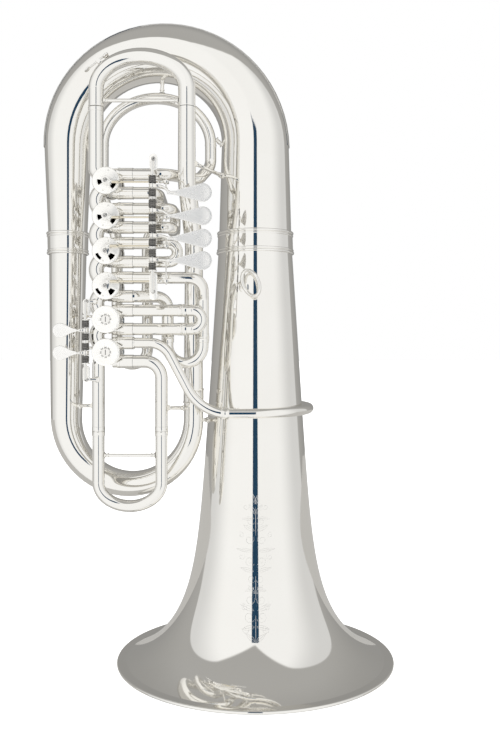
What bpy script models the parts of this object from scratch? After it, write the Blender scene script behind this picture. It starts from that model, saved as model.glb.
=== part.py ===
"""A rotary F tuba with six valves, standing on its bell.

Lengths are millimetres, turned into metres by MM. X runs to the right, Y away from the
valve side and Z up. Pieces are laid out from the bell axis, at x = 0 and y = 0, with the
bell rim on z = 0; the root empty then shifts the whole instrument to the middle of its box.
"""
import math

import bmesh
import bpy
from mathutils import Matrix, Vector

MM = 0.001
GAP = 0.3                    # clearance between two pieces that touch

# Bell
RIM_RADIUS = 210.0
RIM_THICKNESS = 4.0
THROAT_RADIUS = 55.6
THROAT_Z = 635.0
BELL_TAPER = 0.064           # radius lost for each millimetre of height
BELL_WALL = 1.2
RIM_FLARE = 19.3             # what the last curl adds at the rim
RIM_FLARE_LENGTH = 14.0
BELL_FLARE_LENGTH = 60.0
BELL_SIDES = 24

# Bottom bow, the large U that joins the bell to the outer branch
BOW_SPAN = 287.5
BOW_SPRING_Z = 782.5
BOW_RADII = (28.8, 35.3, 43.0, 51.5, THROAT_RADIUS)
BOW_WALL = 1.2
BOW_SIDES = 14
FERRULE_HEIGHT = 34.0
FERRULE_WALL = 2.0
BEAD_RISE = 1.6              # how far a ferrule's beads stand out
BEAD_HEIGHT = 6.0
GUARD_WIDTH = 34.0
GUARD_THICKNESS = 1.0

# Outer branch with the top bow, and the small branch to the main slide
BRANCH_LEFT_X = -BOW_SPAN - 2.3     # the leg leans out a little on its way down
BRANCH_RIGHT_X = -92.2
BRANCH_RIGHT_Y = -40.0
BRANCH_SPRING_Z = 369.0
BRANCH_JOINT_Z = 404.0
BRANCH_RADII = (28.4, 23.8, 19.2, 14.2)
SMALL_BRANCH_KNEE_Z = 480.0  # up to here it goes straight on from the outer branch
SMALL_BRANCH_NECK = (-91.0, -48.0, 630.0)
SMALL_BRANCH_SHOULDER_Z = 712.0

# Valves, numbered as the player numbers them; the rotor axes run along Y
VALVE_X = -211.4
VALVE_Y = -85.0
VALVE_Z = {6: 469.0, 5: 515.5, 1: 562.5, 2: 612.0, 3: 661.5, 4: 711.0}
AIR_ORDER = (6, 5, 1, 2, 3, 4)
REAR_LINKAGE = (5, 6)        # these carry their cranks at the back
CASING_RADIUS = 18.0
CASING_WALL = 2.5
CASING_HALF = 23.0
PLATE_THICKNESS = 3.0
CAP_RADIUS = CASING_RADIUS + 1.5
CAP_HEIGHT = 7.0
CAP_FACE = 2.2
CAP_BOSS = 1.6
CAP_BOSS_RADIUS = 3.0
SHAFT_RADIUS = 3.6
CRANK_RADIUS = 7.0
CRANK_PIN_RADIUS = 1.5
CRANK_THICKNESS = 3.0
CRANK_FACE = CASING_HALF + PLATE_THICKNESS + 0.8     # from the tube plane to the crank arm
ROD_PLANE = CRANK_FACE + CRANK_THICKNESS + 2.4       # from the tube plane to the rods
PORT_REACH = 7.0             # where a port tube starts, inside the casing
BORE_REACH = 5.0
CRANK_REST_ANGLE = {1: 60.0, 2: 60.0, 3: -30.0, 4: -30.0, 5: 120.0, 6: 120.0}
PORT_OFFSET = 13.4           # a loop port lies this far above or below the valve axis
PORT_BEND = 10.0
LOOP_START_X = -174.0         # seam between a port tube and what is joined to it
LOOP_SLEEVE_RADIUS = 8.5
LOOP_WALL = 0.8
MAIN_RADIUS = 10.75
MAIN_WALL = 0.9
LOOP_SIDES = 8
MAIN_SIDES = 10
VALVE_SIDES = 16

# Main tuning slide
MAIN_LEFT_X = -229.4
MAIN_RIGHT_X = -98.9
MAIN_RIGHT_RADIUS = 12.35
MAIN_SLEEVE_TOP_Z = 778.0
MAIN_CROOK_SPRING_Z = 847.0
MAIN_CROOK_HEIGHT = 47.5
MAIN_INSERT = 40.0           # how far the slide's legs reach into their sleeves

# Valve slides
SLIDE6_LEFT_X = -225.8
SLIDE6_RIGHT_X = -135.3
SLIDE6_RADIUS = 9.15
SLIDE6_SLEEVE_Z = 356.0
SLIDE6_SPRING_Z = 282.0
SLIDE6_CROOK_HEIGHT = 34.0
SLIDE6_CORNER = 24.0
SLIDE5_SLEEVE_X = -106.0
SLIDE5_CROOK_X = -91.0
SLIDE2_SLEEVE_X = -150.0
SLIDE2_CROOK_X = -125.8
SLIDE1_LEFT_X = -128.1
SLIDE1_RIGHT_X = -76.7
SLIDE1_Y = -66.0
SLIDE1_SLEEVE_Z = 490.0
SLIDE1_SPRING_Z = 478.7
SLIDE3_X = -121.0
SLIDE3_SLEEVE_Y = -45.0
SLIDE3_CROOK_Y = -36.0
SLIDE4_TURN_X = -140.0       # where valve 4's lower tube turns to the back
SLIDE4_LEFT_X = -210.0
SLIDE4_RIGHT_X = -163.7
SLIDE4_Y = -15.0
SLIDE4_SLEEVE_Z = 560.0
SLIDE4_SPRING_Z = 473.0
LOOP_INSERT = 34.0
SLIDE_SHOULDER = 0.4         # a slide is this much slimmer than its sleeve

# Fourth valve loop, the high arch behind the main slide
ARCH_X = -150.0
ARCH_HALF_WIDTH = 82.0
ARCH_SPRING_Z = 784.0
ARCH_HEIGHT = 71.0
ARCH_Y = -10.0
ARCH_FOOT_Z = 752.0
ARCH_LEAD = ((-130.0, VALVE_Y), (-84.0, -39.0))    # the bends on its way to the arch
ARCH_FALL_Z = (706.0, 640.0)

# Leadpipe and mouthpiece receiver
LEADPIPE_RADIUS = 7.25
LEADPIPE_WALL = 0.8
LEADPIPE_Z = 380.5
LEADPIPE_STEPS = 9
LEADPIPE_RING = 82.0         # radius of its way round the bell
LEADPIPE_DROP = (-132.4, 34.0)    # where it turns down, and its bend radius there
LEADPIPE_SWEEP = (-78.6, 66.0)    # where it turns level again
LEADPIPE_RISE = 6.0
LEADPIPE_END_X = -20.0
RECEIVER_LENGTH = 38.0
RECEIVER_RADIUS = 9.5
RECEIVER_BORE = LEADPIPE_RADIUS - 1.4
RECEIVER_MOUTH = LEADPIPE_RADIUS - 0.4

# Right-hand levers for valves 4 3 2 1, left-hand levers for valves 5 6
AXLE_RADIUS = 2.4
LEVER_HUB_RADIUS = 4.6
LEVER_HUB_HALF = 3.2
LEVER_CLEARANCE = 0.5
RIGHT_AXLE = (-142.4, -138.0)
RIGHT_AXLE_Z = (551.0, 732.0)
RIGHT_LEVER_Z = {4: 697.9, 3: 664.0, 2: 629.3, 1: 596.2}
RIGHT_POST = (17.0, 20.0)    # from the axle to the post that drives the rod
RIGHT_PADDLE_X = (-118.0, -60.3)
RIGHT_PADDLE_DROP = {4: 9.5, 3: 7.5, 2: 3.5, 1: 1.0}
RIGHT_PADDLE_WIDTH = 26.0
LEFT_AXLE = (-241.6, -100.0)
LEFT_AXLE_Z = (430.0, 541.0)
LEFT_LEVER_Z = {5: 500.0, 6: 468.0}
LEFT_POST = (-9.0, 44.0)
LEFT_ARM = ((-10.0, 8.0), (-12.0, 34.0))    # the arm's way round its rack, from the axle
LEFT_PADDLE_X = (-258.0, -288.0)
LEFT_PADDLE_WIDTH = 21.0
PADDLE_THICKNESS = 2.2
POST_RADIUS = 1.0
ROD_RADIUS = 1.4
SLOT_HALF = 2.1              # half the slot that the post moves in

SPRING_RADIUS = 4.7
SPRING_LENGTH = 22.0
SPRING_SIDES = 8

# Small pieces
THUMB_RING_Z = 569.0
WATER_KEY_ANGLE = 142.0      # place on the crook, from its right end
MAIN_BRACE_Z = 830.6
SLIDE6_BRACE_Z = 321.0

SILVER = (0.86, 0.84, 0.80)
STEEL = (0.30, 0.29, 0.28)


def new_collection(name):
    collection = bpy.data.collections.new(name)
    bpy.context.scene.collection.children.link(collection)
    return collection


def metal(name, colour, roughness):
    material = bpy.data.materials.new(name)
    material.use_nodes = True
    shader = material.node_tree.nodes["Principled BSDF"]
    shader.inputs["Base Color"].default_value = (*colour, 1.0)
    shader.inputs["Roughness"].default_value = roughness
    shader.inputs["Metallic"].default_value = 1.0
    return material


for old in list(bpy.data.objects):
    bpy.data.objects.remove(old)

PARTS = new_collection("tuba")
GUIDES = new_collection("guides")
ROOT = bpy.data.objects.new("tuba_root", None)
PARTS.objects.link(ROOT)
ROOT.location.x = (BOW_SPAN + BOW_RADII[1] + 2 * GAP + GUARD_THICKNESS - RIM_RADIUS) / 2 * MM


# Paths are lists of (point, radius), so that a tube can taper along its way.

def line(start, end, radius, end_radius=None, steps=1):
    end_radius = radius if end_radius is None else end_radius
    start, end = Vector(start), Vector(end)
    return [(start.lerp(end, i / steps), radius + (end_radius - radius) * i / steps)
            for i in range(steps + 1)]


def arc(centre, side, top, start, end, radius, end_radius=None, steps=8):
    """An elliptical arc: side and top are its half axes, and angles are in degrees."""
    end_radius = radius if end_radius is None else end_radius
    centre, side, top = Vector(centre), Vector(side), Vector(top)
    way = []
    for i in range(steps + 1):
        angle = math.radians(start + (end - start) * i / steps)
        point = centre + side * math.cos(angle) + top * math.sin(angle)
        way.append((point, radius + (end_radius - radius) * i / steps))
    return way


def rounded(corners, radius, steps=4):
    """A way through (point, bend radius) corners, each bend an arc in its own plane."""
    points = [Vector(corner[0]) for corner in corners]
    way = [(points[0], radius)]
    for i in range(1, len(points) - 1):
        back = (points[i - 1] - points[i]).normalized()
        ahead = (points[i + 1] - points[i]).normalized()
        turn = math.pi - back.angle(ahead)
        bend = corners[i][1]
        centre = points[i] + (back + ahead).normalized() * bend / math.cos(turn / 2)
        inward = (points[i] - centre).normalized()
        along = (ahead - back).normalized()
        for step in range(steps + 1):
            angle = turn * (step / steps - 0.5)
            offset = inward * math.cos(angle) + along * math.sin(angle)
            way.append((centre + offset * bend, radius))
    return way + [(points[-1], radius)]


def join(*ways):
    """Ways end to end, without doubled points."""
    result = []
    for way in ways:
        for point, radius in way:
            if not result or (point - result[-1][0]).length > 0.01:
                result.append((point, radius))
    return result


def add(data, name, collection=PARTS):
    obj = bpy.data.objects.new(name, data)
    collection.objects.link(obj)
    if collection is PARTS:
        obj.parent = ROOT
    return obj


def finish(obj, colour=SILVER, roughness=0.12):
    obj.data.materials.clear()
    obj.data.materials.append(metal(obj.name, colour, roughness))
    if obj.type == "MESH":
        obj.data.shade_smooth()
        obj.data.set_sharp_from_angle(angle=math.radians(35))
    return obj


def swept_curve(name, way, sides, capped, cyclic=False):
    curve = bpy.data.curves.new(name, "CURVE")
    curve.dimensions = "3D"
    curve.bevel_depth = MM
    curve.bevel_resolution = (sides - 4) // 2
    curve.use_fill_caps = capped
    curve.render_resolution_u = 0
    spline = curve.splines.new("POLY")
    spline.points.add(len(way) - 1)
    spline.use_cyclic_u = cyclic
    for target, (point, radius) in zip(spline.points, way):
        target.co = (*(point * MM), 1.0)
        target.radius = radius
    return curve


def tube(name, way, wall, sides=LOOP_SIDES):
    """A hollow tube, open at both ends: a swept skin with its wall inward."""
    obj = add(swept_curve(name, way, sides, capped=False), name)
    skin = obj.modifiers.new("wall", "SOLIDIFY")
    skin.thickness = wall * MM
    skin.offset = -1.0
    return obj


def evaluated_mesh(obj):
    bpy.context.view_layer.update()
    graph = bpy.context.evaluated_depsgraph_get()
    mesh = bpy.data.meshes.new_from_object(obj.evaluated_get(graph))
    work = bmesh.new()
    work.from_mesh(mesh)
    bmesh.ops.remove_doubles(work, verts=work.verts, dist=0.00001)
    bmesh.ops.recalc_face_normals(work, faces=work.faces)
    work.to_mesh(mesh)
    work.free()
    return mesh


def rod_mesh(way, sides=LOOP_SIDES, cyclic=False):
    """A solid swept rod as a mesh, for Booleans."""
    obj = add(swept_curve("rod", way, sides, capped=not cyclic, cyclic=cyclic), "rod", GUIDES)
    mesh = evaluated_mesh(obj)
    bpy.data.objects.remove(obj)
    return mesh


def primitive_mesh(create, matrix):
    mesh = bpy.data.meshes.new("primitive")
    work = bmesh.new()
    create(work)
    work.transform(matrix)
    work.to_mesh(mesh)
    work.free()
    return mesh


def cylinder_mesh(centre, axis, radius, height, sides=24, top_radius=None):
    top = radius if top_radius is None else top_radius
    turn = Vector((0, 0, 1)).rotation_difference(Vector(axis)).to_matrix().to_4x4()
    place = Matrix.Translation(Vector(centre) * MM) @ turn

    def create(work):
        bmesh.ops.create_cone(work, cap_ends=True, segments=sides, radius1=radius * MM,
                              radius2=top * MM, depth=height * MM)
    return primitive_mesh(create, place)


def box_mesh(centre, size):
    place = Matrix.Translation(Vector(centre) * MM) @ Matrix.Diagonal((*(Vector(size) * MM), 1.0))
    return primitive_mesh(lambda work: bmesh.ops.create_cube(work, size=1.0), place)


def carve(name, solids, hollows=()):
    """One body: the first solid joined with the others, then cut by the hollows."""
    obj = add(solids[0], name)
    steps = [("UNION", mesh) for mesh in solids[1:]] + [("DIFFERENCE", mesh) for mesh in hollows]
    for index, (operation, mesh) in enumerate(steps):
        tool = add(mesh, f"{name}_tool_{index}", GUIDES)
        tool.parent = ROOT
        tool.hide_render = True
        tool.display_type = "WIRE"
        change = obj.modifiers.new(operation.lower(), "BOOLEAN")
        change.operation = operation
        change.object = tool
    return obj


def pivot(obj, point):
    """Moves an object's origin to a point on its joint axis, with the shape in place."""
    shift = Vector(point) * MM
    obj.data.transform(Matrix.Translation(-shift))
    obj.location = shift
    return obj


def turned(name, profile, sides=24):
    """Turns a profile of (radius, height) points, outer side first, top to bottom.

    It closes on itself, unless it starts and ends on the axis.
    """
    mesh = bpy.data.meshes.new(name)
    verts = [(radius * MM, 0.0, height * MM) for radius, height in profile]
    closed = profile[0][0] > 0
    edges = [(i, (i + 1) % len(verts)) for i in range(len(verts) if closed else len(verts) - 1)]
    mesh.from_pydata(verts, edges, [])
    obj = add(mesh, name)
    screw = obj.modifiers.new("turn", "SCREW")
    screw.axis = "Z"
    screw.steps = screw.render_steps = sides
    screw.use_merge_vertices = True
    screw.merge_threshold = 0.00001
    return obj


# Body: bell, bows and branches

def bell_radius(height):
    below = THROAT_Z - height
    return (THROAT_RADIUS + BELL_TAPER * below
            + (RIM_RADIUS - THROAT_RADIUS - BELL_TAPER * THROAT_Z - RIM_FLARE)
            * math.exp(-height / BELL_FLARE_LENGTH)
            + RIM_FLARE * math.exp(-height / RIM_FLARE_LENGTH))


def make_bell():
    top = THROAT_Z - GAP / 2
    count = 10
    heights = [RIM_THICKNESS + (top - RIM_THICKNESS) * (i / count) ** 2.2 for i in range(count + 1)]
    outer = [(bell_radius(z), z) for z in reversed(heights)]
    inner = [(bell_radius(z) - BELL_WALL, z) for z in heights]
    inner[0] = (inner[0][0] - 1.5, RIM_THICKNESS)
    bead = [(RIM_RADIUS, RIM_THICKNESS), (RIM_RADIUS, 0.0), (RIM_RADIUS - 6.0, 0.0)]
    return finish(turned("bell", outer + bead + inner, BELL_SIDES))


def ring(name, low_radius, high_radius, low, high, wall, sides, x=0.0):
    """A sleeve over a joint, with a bead at each end."""
    ease = 1 / math.cos(math.pi / sides)
    low_inner = (low_radius + GAP) * ease
    high_inner = (high_radius + GAP) * ease
    high_outer, low_outer = high_inner + wall, low_inner + wall
    profile = [(high_outer, high), (high_outer + BEAD_RISE, high - BEAD_HEIGHT / 2),
               (high_outer, high - BEAD_HEIGHT), (low_outer, low + BEAD_HEIGHT),
               (low_outer + BEAD_RISE, low + BEAD_HEIGHT / 2), (low_outer, low),
               (low_inner, low), (high_inner, high)]
    obj = turned(name, profile, sides)
    obj.location.x = x * MM
    return finish(obj)


def bow_path():
    foot = THROAT_Z + GAP / 2
    radii = BOW_RADII
    middle = (-BOW_SPAN / 2, 0, BOW_SPRING_Z)
    side = (BOW_SPAN / 2, 0, 0)
    top = (0, 0, BOW_SPAN / 2)
    return join(
        line((-BOW_SPAN, 0, foot), (-BOW_SPAN, 0, BOW_SPRING_Z), radii[0], radii[1]),
        arc(middle, side, top, 180, 90, radii[1], radii[2], 5),
        arc(middle, side, top, 90, 0, radii[2], radii[3], 5),
        line((0, 0, BOW_SPRING_Z), (0, 0, foot), radii[3], radii[4]))


def make_bow_guard():
    """A strip soldered along the outside of the bow, wrapped round its section."""
    across = 4
    middle = Vector((-BOW_SPAN / 2, 0, BOW_SPRING_Z))
    work = bmesh.new()
    rows = []
    for centre, tube_radius in bow_path()[1:-1]:
        outward = (centre - middle).normalized()
        radius = tube_radius + 2 * GAP
        row = []
        for j in range(across + 1):
            turn = (j / across - 0.5) * GUARD_WIDTH / radius
            point = centre + outward * radius * math.cos(turn)
            row.append(work.verts.new((point + Vector((0, radius * math.sin(turn), 0))) * MM))
        rows.append(row)
    for low, high in zip(rows, rows[1:]):
        for j in range(across):
            work.faces.new((low[j], high[j], high[j + 1], low[j + 1]))
    mesh = bpy.data.meshes.new("bow_guard")
    work.to_mesh(mesh)
    work.free()
    obj = add(mesh, "bow_guard")
    plate = obj.modifiers.new("plate", "SOLIDIFY")
    plate.thickness = GUARD_THICKNESS * MM
    plate.offset = 1.0
    return finish(obj)


def top_bow_path():
    half = (BRANCH_RIGHT_X - BRANCH_LEFT_X) / 2
    middle = (BRANCH_LEFT_X + half, BRANCH_RIGHT_Y / 2, BRANCH_SPRING_Z)
    radii = BRANCH_RADII
    start = (-BOW_SPAN, 0, THROAT_Z - GAP / 2)
    return join(
        line(start, (BRANCH_LEFT_X, 0, BRANCH_SPRING_Z), radii[0], radii[1]),
        arc(middle, (half, BRANCH_RIGHT_Y / 2, 0), (0, 0, half), 180, 270, radii[1], radii[2], 5),
        arc(middle, (half, BRANCH_RIGHT_Y / 2, 0), (0, 0, half), 270, 360, radii[2], radii[3], 5),
        line((BRANCH_RIGHT_X, BRANCH_RIGHT_Y, BRANCH_SPRING_Z),
             (BRANCH_RIGHT_X, BRANCH_RIGHT_Y, BRANCH_JOINT_Z), radii[3]))


def small_branch_path():
    low = (BRANCH_RIGHT_X, BRANCH_RIGHT_Y, BRANCH_JOINT_Z + GAP)
    knee = (BRANCH_RIGHT_X, BRANCH_RIGHT_Y, SMALL_BRANCH_KNEE_Z)
    shoulder = (MAIN_RIGHT_X, VALVE_Y, SMALL_BRANCH_SHOULDER_Z)
    radius = MAIN_RIGHT_RADIUS
    way = rounded([(low, 0), (knee, 90), (SMALL_BRANCH_NECK, 60), (shoulder, 50),
                   ((MAIN_RIGHT_X, VALVE_Y, MAIN_SLEEVE_TOP_Z), 0)], radius, 2)
    way[0] = (way[0][0], BRANCH_RADII[3])
    way[1] = (way[1][0], BRANCH_RADII[3] - 0.4)
    return way


# Main tuning slide: an inverted U whose legs reach down into two sleeves

def slide_leg_radius(sleeve_radius, wall, sides):
    """The largest leg that slides in a sleeve, however their facets lie."""
    return (sleeve_radius - wall) * math.cos(math.pi / sides) - GAP / 2


def main_slide_path():
    middle_x = (MAIN_LEFT_X + MAIN_RIGHT_X) / 2
    half = (MAIN_RIGHT_X - MAIN_LEFT_X) / 2
    left_leg = slide_leg_radius(MAIN_RADIUS, MAIN_WALL, LOOP_SIDES)
    right_leg = slide_leg_radius(MAIN_RIGHT_RADIUS, MAIN_WALL, MAIN_SIDES)
    low = MAIN_SLEEVE_TOP_Z - MAIN_INSERT
    collar = MAIN_SLEEVE_TOP_Z + GAP
    crook = arc((middle_x, VALVE_Y, MAIN_CROOK_SPRING_Z), (half, 0, 0), (0, 0, MAIN_CROOK_HEIGHT),
                180, 0, MAIN_RADIUS, MAIN_RIGHT_RADIUS, 8)
    return join(
        line((MAIN_LEFT_X, VALVE_Y, low), (MAIN_LEFT_X, VALVE_Y, collar + 1), left_leg),
        line((MAIN_LEFT_X, VALVE_Y, collar + 1.5), crook[0][0], MAIN_RADIUS),
        crook,
        line(crook[-1][0], (MAIN_RIGHT_X, VALVE_Y, collar + 1.5), MAIN_RIGHT_RADIUS),
        line((MAIN_RIGHT_X, VALVE_Y, collar + 1), (MAIN_RIGHT_X, VALVE_Y, low), right_leg))


def make_body():
    make_bell()
    finish(tube("bottom_bow", bow_path(), BOW_WALL, BOW_SIDES))
    make_bow_guard()
    half = FERRULE_HEIGHT / 2
    ring("bell_ferrule", bell_radius(THROAT_Z - half), THROAT_RADIUS, THROAT_Z - half,
         THROAT_Z + half, FERRULE_WALL, BELL_SIDES)
    ring("bow_ferrule", BOW_RADII[0], BOW_RADII[0] + 0.8, THROAT_Z - half, THROAT_Z + half,
         FERRULE_WALL, BOW_SIDES, -BOW_SPAN)
    finish(tube("top_bow", top_bow_path(), BOW_WALL, 12))
    finish(tube("small_branch", small_branch_path(), MAIN_WALL, MAIN_SIDES))
    finish(tube("main_slide", main_slide_path(), MAIN_WALL, MAIN_SIDES))


# Leadpipe: from the first valve it meets, under the levers, round the bell to the player

def leadpipe_path():
    start = (LOOP_START_X + GAP, VALVE_Y, VALVE_Z[6] + PORT_OFFSET)
    drop_x, drop_bend = LEADPIPE_DROP
    sweep_x, sweep_bend = LEADPIPE_SWEEP
    first = (drop_x, VALVE_Y, VALVE_Z[6] + PORT_OFFSET)
    second = (sweep_x, VALVE_Y, LEADPIPE_Z)
    reach = (0, -LEADPIPE_RING, LEADPIPE_Z)
    radius = LEADPIPE_RADIUS
    end_z = LEADPIPE_Z + LEADPIPE_RISE
    wrap = []
    for point, size in arc((0, 0, LEADPIPE_Z), (LEADPIPE_RING, 0, 0), (0, LEADPIPE_RING, 0),
                           -90, 90, radius, radius, LEADPIPE_STEPS):
        share = len(wrap) / LEADPIPE_STEPS
        wrap.append((point + Vector((0, 0, LEADPIPE_RISE * share)), size))
    end = (LEADPIPE_END_X, LEADPIPE_RING, end_z)
    return join(rounded([(start, 0), (first, drop_bend), (second, sweep_bend), (reach, 0)], radius, 3), wrap,
                line((0, LEADPIPE_RING, end_z), end, radius))


def make_leadpipe():
    finish(tube("leadpipe", leadpipe_path(), LEADPIPE_WALL, 8))
    centre = (LEADPIPE_END_X - GAP - RECEIVER_LENGTH / 2, LEADPIPE_RING, LEADPIPE_Z + LEADPIPE_RISE)
    body = cylinder_mesh(centre, (-1, 0, 0), LEADPIPE_RADIUS + 0.6, RECEIVER_LENGTH, 16,
                         RECEIVER_RADIUS)
    bore = cylinder_mesh(centre, (-1, 0, 0), RECEIVER_BORE, RECEIVER_LENGTH + 2, 16,
                         RECEIVER_MOUTH)
    return finish(carve("mouthpiece_receiver", [body], [bore]))


# Valves

def valve_point(valve, across, up):
    return (VALVE_X + across, VALVE_Y, VALVE_Z[valve] + up)


def linkage_side(valve):
    """-1 where the crank is at the front, +1 where it is at the back."""
    return 1 if valve in REAR_LINKAGE else -1


def port_path(valve, side, up, corners, radius, reach=PORT_REACH):
    """A tube that leaves a rotor on the diagonal, then follows the given corners."""
    offset = abs(corners[0][0][2] - VALVE_Z[valve]) if side > 0 else abs(corners[0][0][0] - VALVE_X)
    start = valve_point(valve, side * reach, up * reach)
    knuckle = valve_point(valve, side * offset, up * offset)
    return rounded([(start, 0), (knuckle, PORT_BEND)] + corners, radius, 2)


def link_path(valve, radius, reach=PORT_REACH):
    """The short bulging tube from a valve's upper left port to the next valve up."""
    above = AIR_ORDER[AIR_ORDER.index(valve) + 1]
    half = (VALVE_Z[above] - VALVE_Z[valve]) / 2
    bend = half * math.sqrt(2) - (CASING_RADIUS - 0.5)
    return rounded([(valve_point(valve, -reach, reach), 0), (valve_point(valve, -half, half), bend),
                    (valve_point(above, -reach, -reach), 0)], radius, 2)


def along_x(valve, up, end_x):
    return [((end_x, VALVE_Y, VALVE_Z[valve] + up * PORT_OFFSET), 0)]


def loop_corners(valve):
    """(side, up, corners, sleeve radius) for each tube soldered to a valve, except the links."""
    low = VALVE_Z[valve] - PORT_OFFSET
    high = VALVE_Z[valve] + PORT_OFFSET
    y = VALVE_Y
    sleeve = LOOP_SLEEVE_RADIUS
    if valve == 6:
        return [(1, 1, along_x(6, 1, LOOP_START_X), sleeve),
                (1, -1, [((SLIDE6_RIGHT_X, y, low), SLIDE6_CORNER),
                         ((SLIDE6_RIGHT_X, y, SLIDE6_SLEEVE_Z), 0)], SLIDE6_RADIUS),
                (-1, -1, [((SLIDE6_LEFT_X, y, SLIDE6_SLEEVE_Z), 0)], SLIDE6_RADIUS)]
    if valve == 5:
        return [(1, up, along_x(5, up, SLIDE5_SLEEVE_X), sleeve) for up in (1, -1)]
    if valve == 2:
        return [(1, up, along_x(2, up, SLIDE2_SLEEVE_X), sleeve) for up in (1, -1)]
    if valve == 1:
        start_x = LOOP_START_X
        return [(1, 1, [((start_x, y, high), 60), ((SLIDE1_RIGHT_X, y + 2, high), 20),
                        ((SLIDE1_RIGHT_X, SLIDE1_Y, high - 29), 20),
                        ((SLIDE1_RIGHT_X, SLIDE1_Y, SLIDE1_SLEEVE_Z), 0)], sleeve),
                (1, -1, [((start_x, y, low), 30), ((SLIDE1_LEFT_X, SLIDE1_Y, low), 17),
                         ((SLIDE1_LEFT_X, SLIDE1_Y, SLIDE1_SLEEVE_Z), 0)], sleeve)]
    if valve == 3:
        return [(1, up, [((SLIDE3_X, y, VALVE_Z[3] + up * PORT_OFFSET), 14),
                         ((SLIDE3_X, SLIDE3_SLEEVE_Y, VALVE_Z[3] + up * PORT_OFFSET), 0)], sleeve)
                for up in (1, -1)]
    return [(1, 1, along_x(4, 1, LOOP_START_X), sleeve),
            (1, -1, [((SLIDE4_TURN_X, y, low), 16), ((SLIDE4_TURN_X, SLIDE4_Y, low - 8), 16),
                     ((SLIDE4_RIGHT_X, SLIDE4_Y, low - 60), 24),
                     ((SLIDE4_RIGHT_X, SLIDE4_Y, SLIDE4_SLEEVE_Z), 0)], sleeve),
            (-1, 1, [((MAIN_LEFT_X, y, MAIN_SLEEVE_TOP_Z), 0)], MAIN_RADIUS)]


def make_casing(valve):
    side = linkage_side(valve)
    axis = (0, 1, 0)
    z = VALVE_Z[valve]
    sides = VALVE_SIDES
    plate_y = VALVE_Y + side * (CASING_HALF + PLATE_THICKNESS / 2)
    barrel_y = VALVE_Y + side * PLATE_THICKNESS / 4
    solids = [cylinder_mesh((VALVE_X, barrel_y, z), axis, CASING_RADIUS,
                            2 * CASING_HALF + PLATE_THICKNESS / 2, sides),
              cylinder_mesh((VALVE_X, plate_y, z), axis, CAP_RADIUS, PLATE_THICKNESS, sides)]
    hollows = [cylinder_mesh((VALVE_X, VALVE_Y - side * 5, z), axis,
                             CASING_RADIUS - CASING_WALL, 2 * CASING_HALF + 10, sides)]
    hollows.append(cylinder_mesh((VALVE_X, plate_y, z), axis, SHAFT_RADIUS + 0.6,
                                 4 * PLATE_THICKNESS, 12))
    for across, up, corners, radius in loop_corners(valve):
        wall = MAIN_WALL if radius == MAIN_RADIUS else LOOP_WALL
        solids.append(rod_mesh(port_path(valve, across, up, corners, radius), LOOP_SIDES))
        bore = port_path(valve, across, up, corners, radius - wall, BORE_REACH)
        last, size = bore[-1]
        bore[-1] = (last + (last - bore[-2][0]).normalized(), size)
        hollows.append(rod_mesh(bore, LOOP_SIDES))
    order = AIR_ORDER.index(valve)
    if order < len(AIR_ORDER) - 1:
        solids.append(rod_mesh(link_path(valve, MAIN_RADIUS), LOOP_SIDES))
        above = VALVE_Z[AIR_ORDER[order + 1]]
        hollows.append(cylinder_mesh((VALVE_X, VALVE_Y, above), axis, CASING_RADIUS + GAP, 60, sides))
        hollows.append(rod_mesh(link_path(valve, MAIN_RADIUS - MAIN_WALL, BORE_REACH), LOOP_SIDES))
    if order > 0:
        below = AIR_ORDER[order - 1]
        hollows.append(rod_mesh(link_path(below, MAIN_RADIUS - MAIN_WALL - 0.2, BORE_REACH), LOOP_SIDES))
    return finish(carve(f"valve_casing_{valve}", solids, hollows))


def rotor_passage(valve, side):
    """The channel that joins two neighbouring ports, waisted where it passes the middle."""
    reach = CASING_RADIUS - CASING_WALL
    if valve == AIR_ORDER[0]:
        centre = valve_point(valve, 0, side * reach * math.sqrt(2))
        first, turn = -90 * side, 58
    else:
        centre = valve_point(valve, side * reach * math.sqrt(2), 0)
        first, turn = (180 if side > 0 else 0), 58
    right, up = (reach, 0, 0), (0, 0, reach)
    return rod_mesh(join(arc(centre, right, up, first - turn, first, 8.0, 5.0, 2),
                         arc(centre, right, up, first, first + turn, 5.0, 8.0, 2)), 6)


def crank_pin(valve, forward):
    angle = math.radians(CRANK_REST_ANGLE[valve])
    return Vector((VALVE_X + CRANK_RADIUS * math.cos(angle),
                   VALVE_Y + linkage_side(valve) * forward,
                   VALVE_Z[valve] + CRANK_RADIUS * math.sin(angle)))


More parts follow.
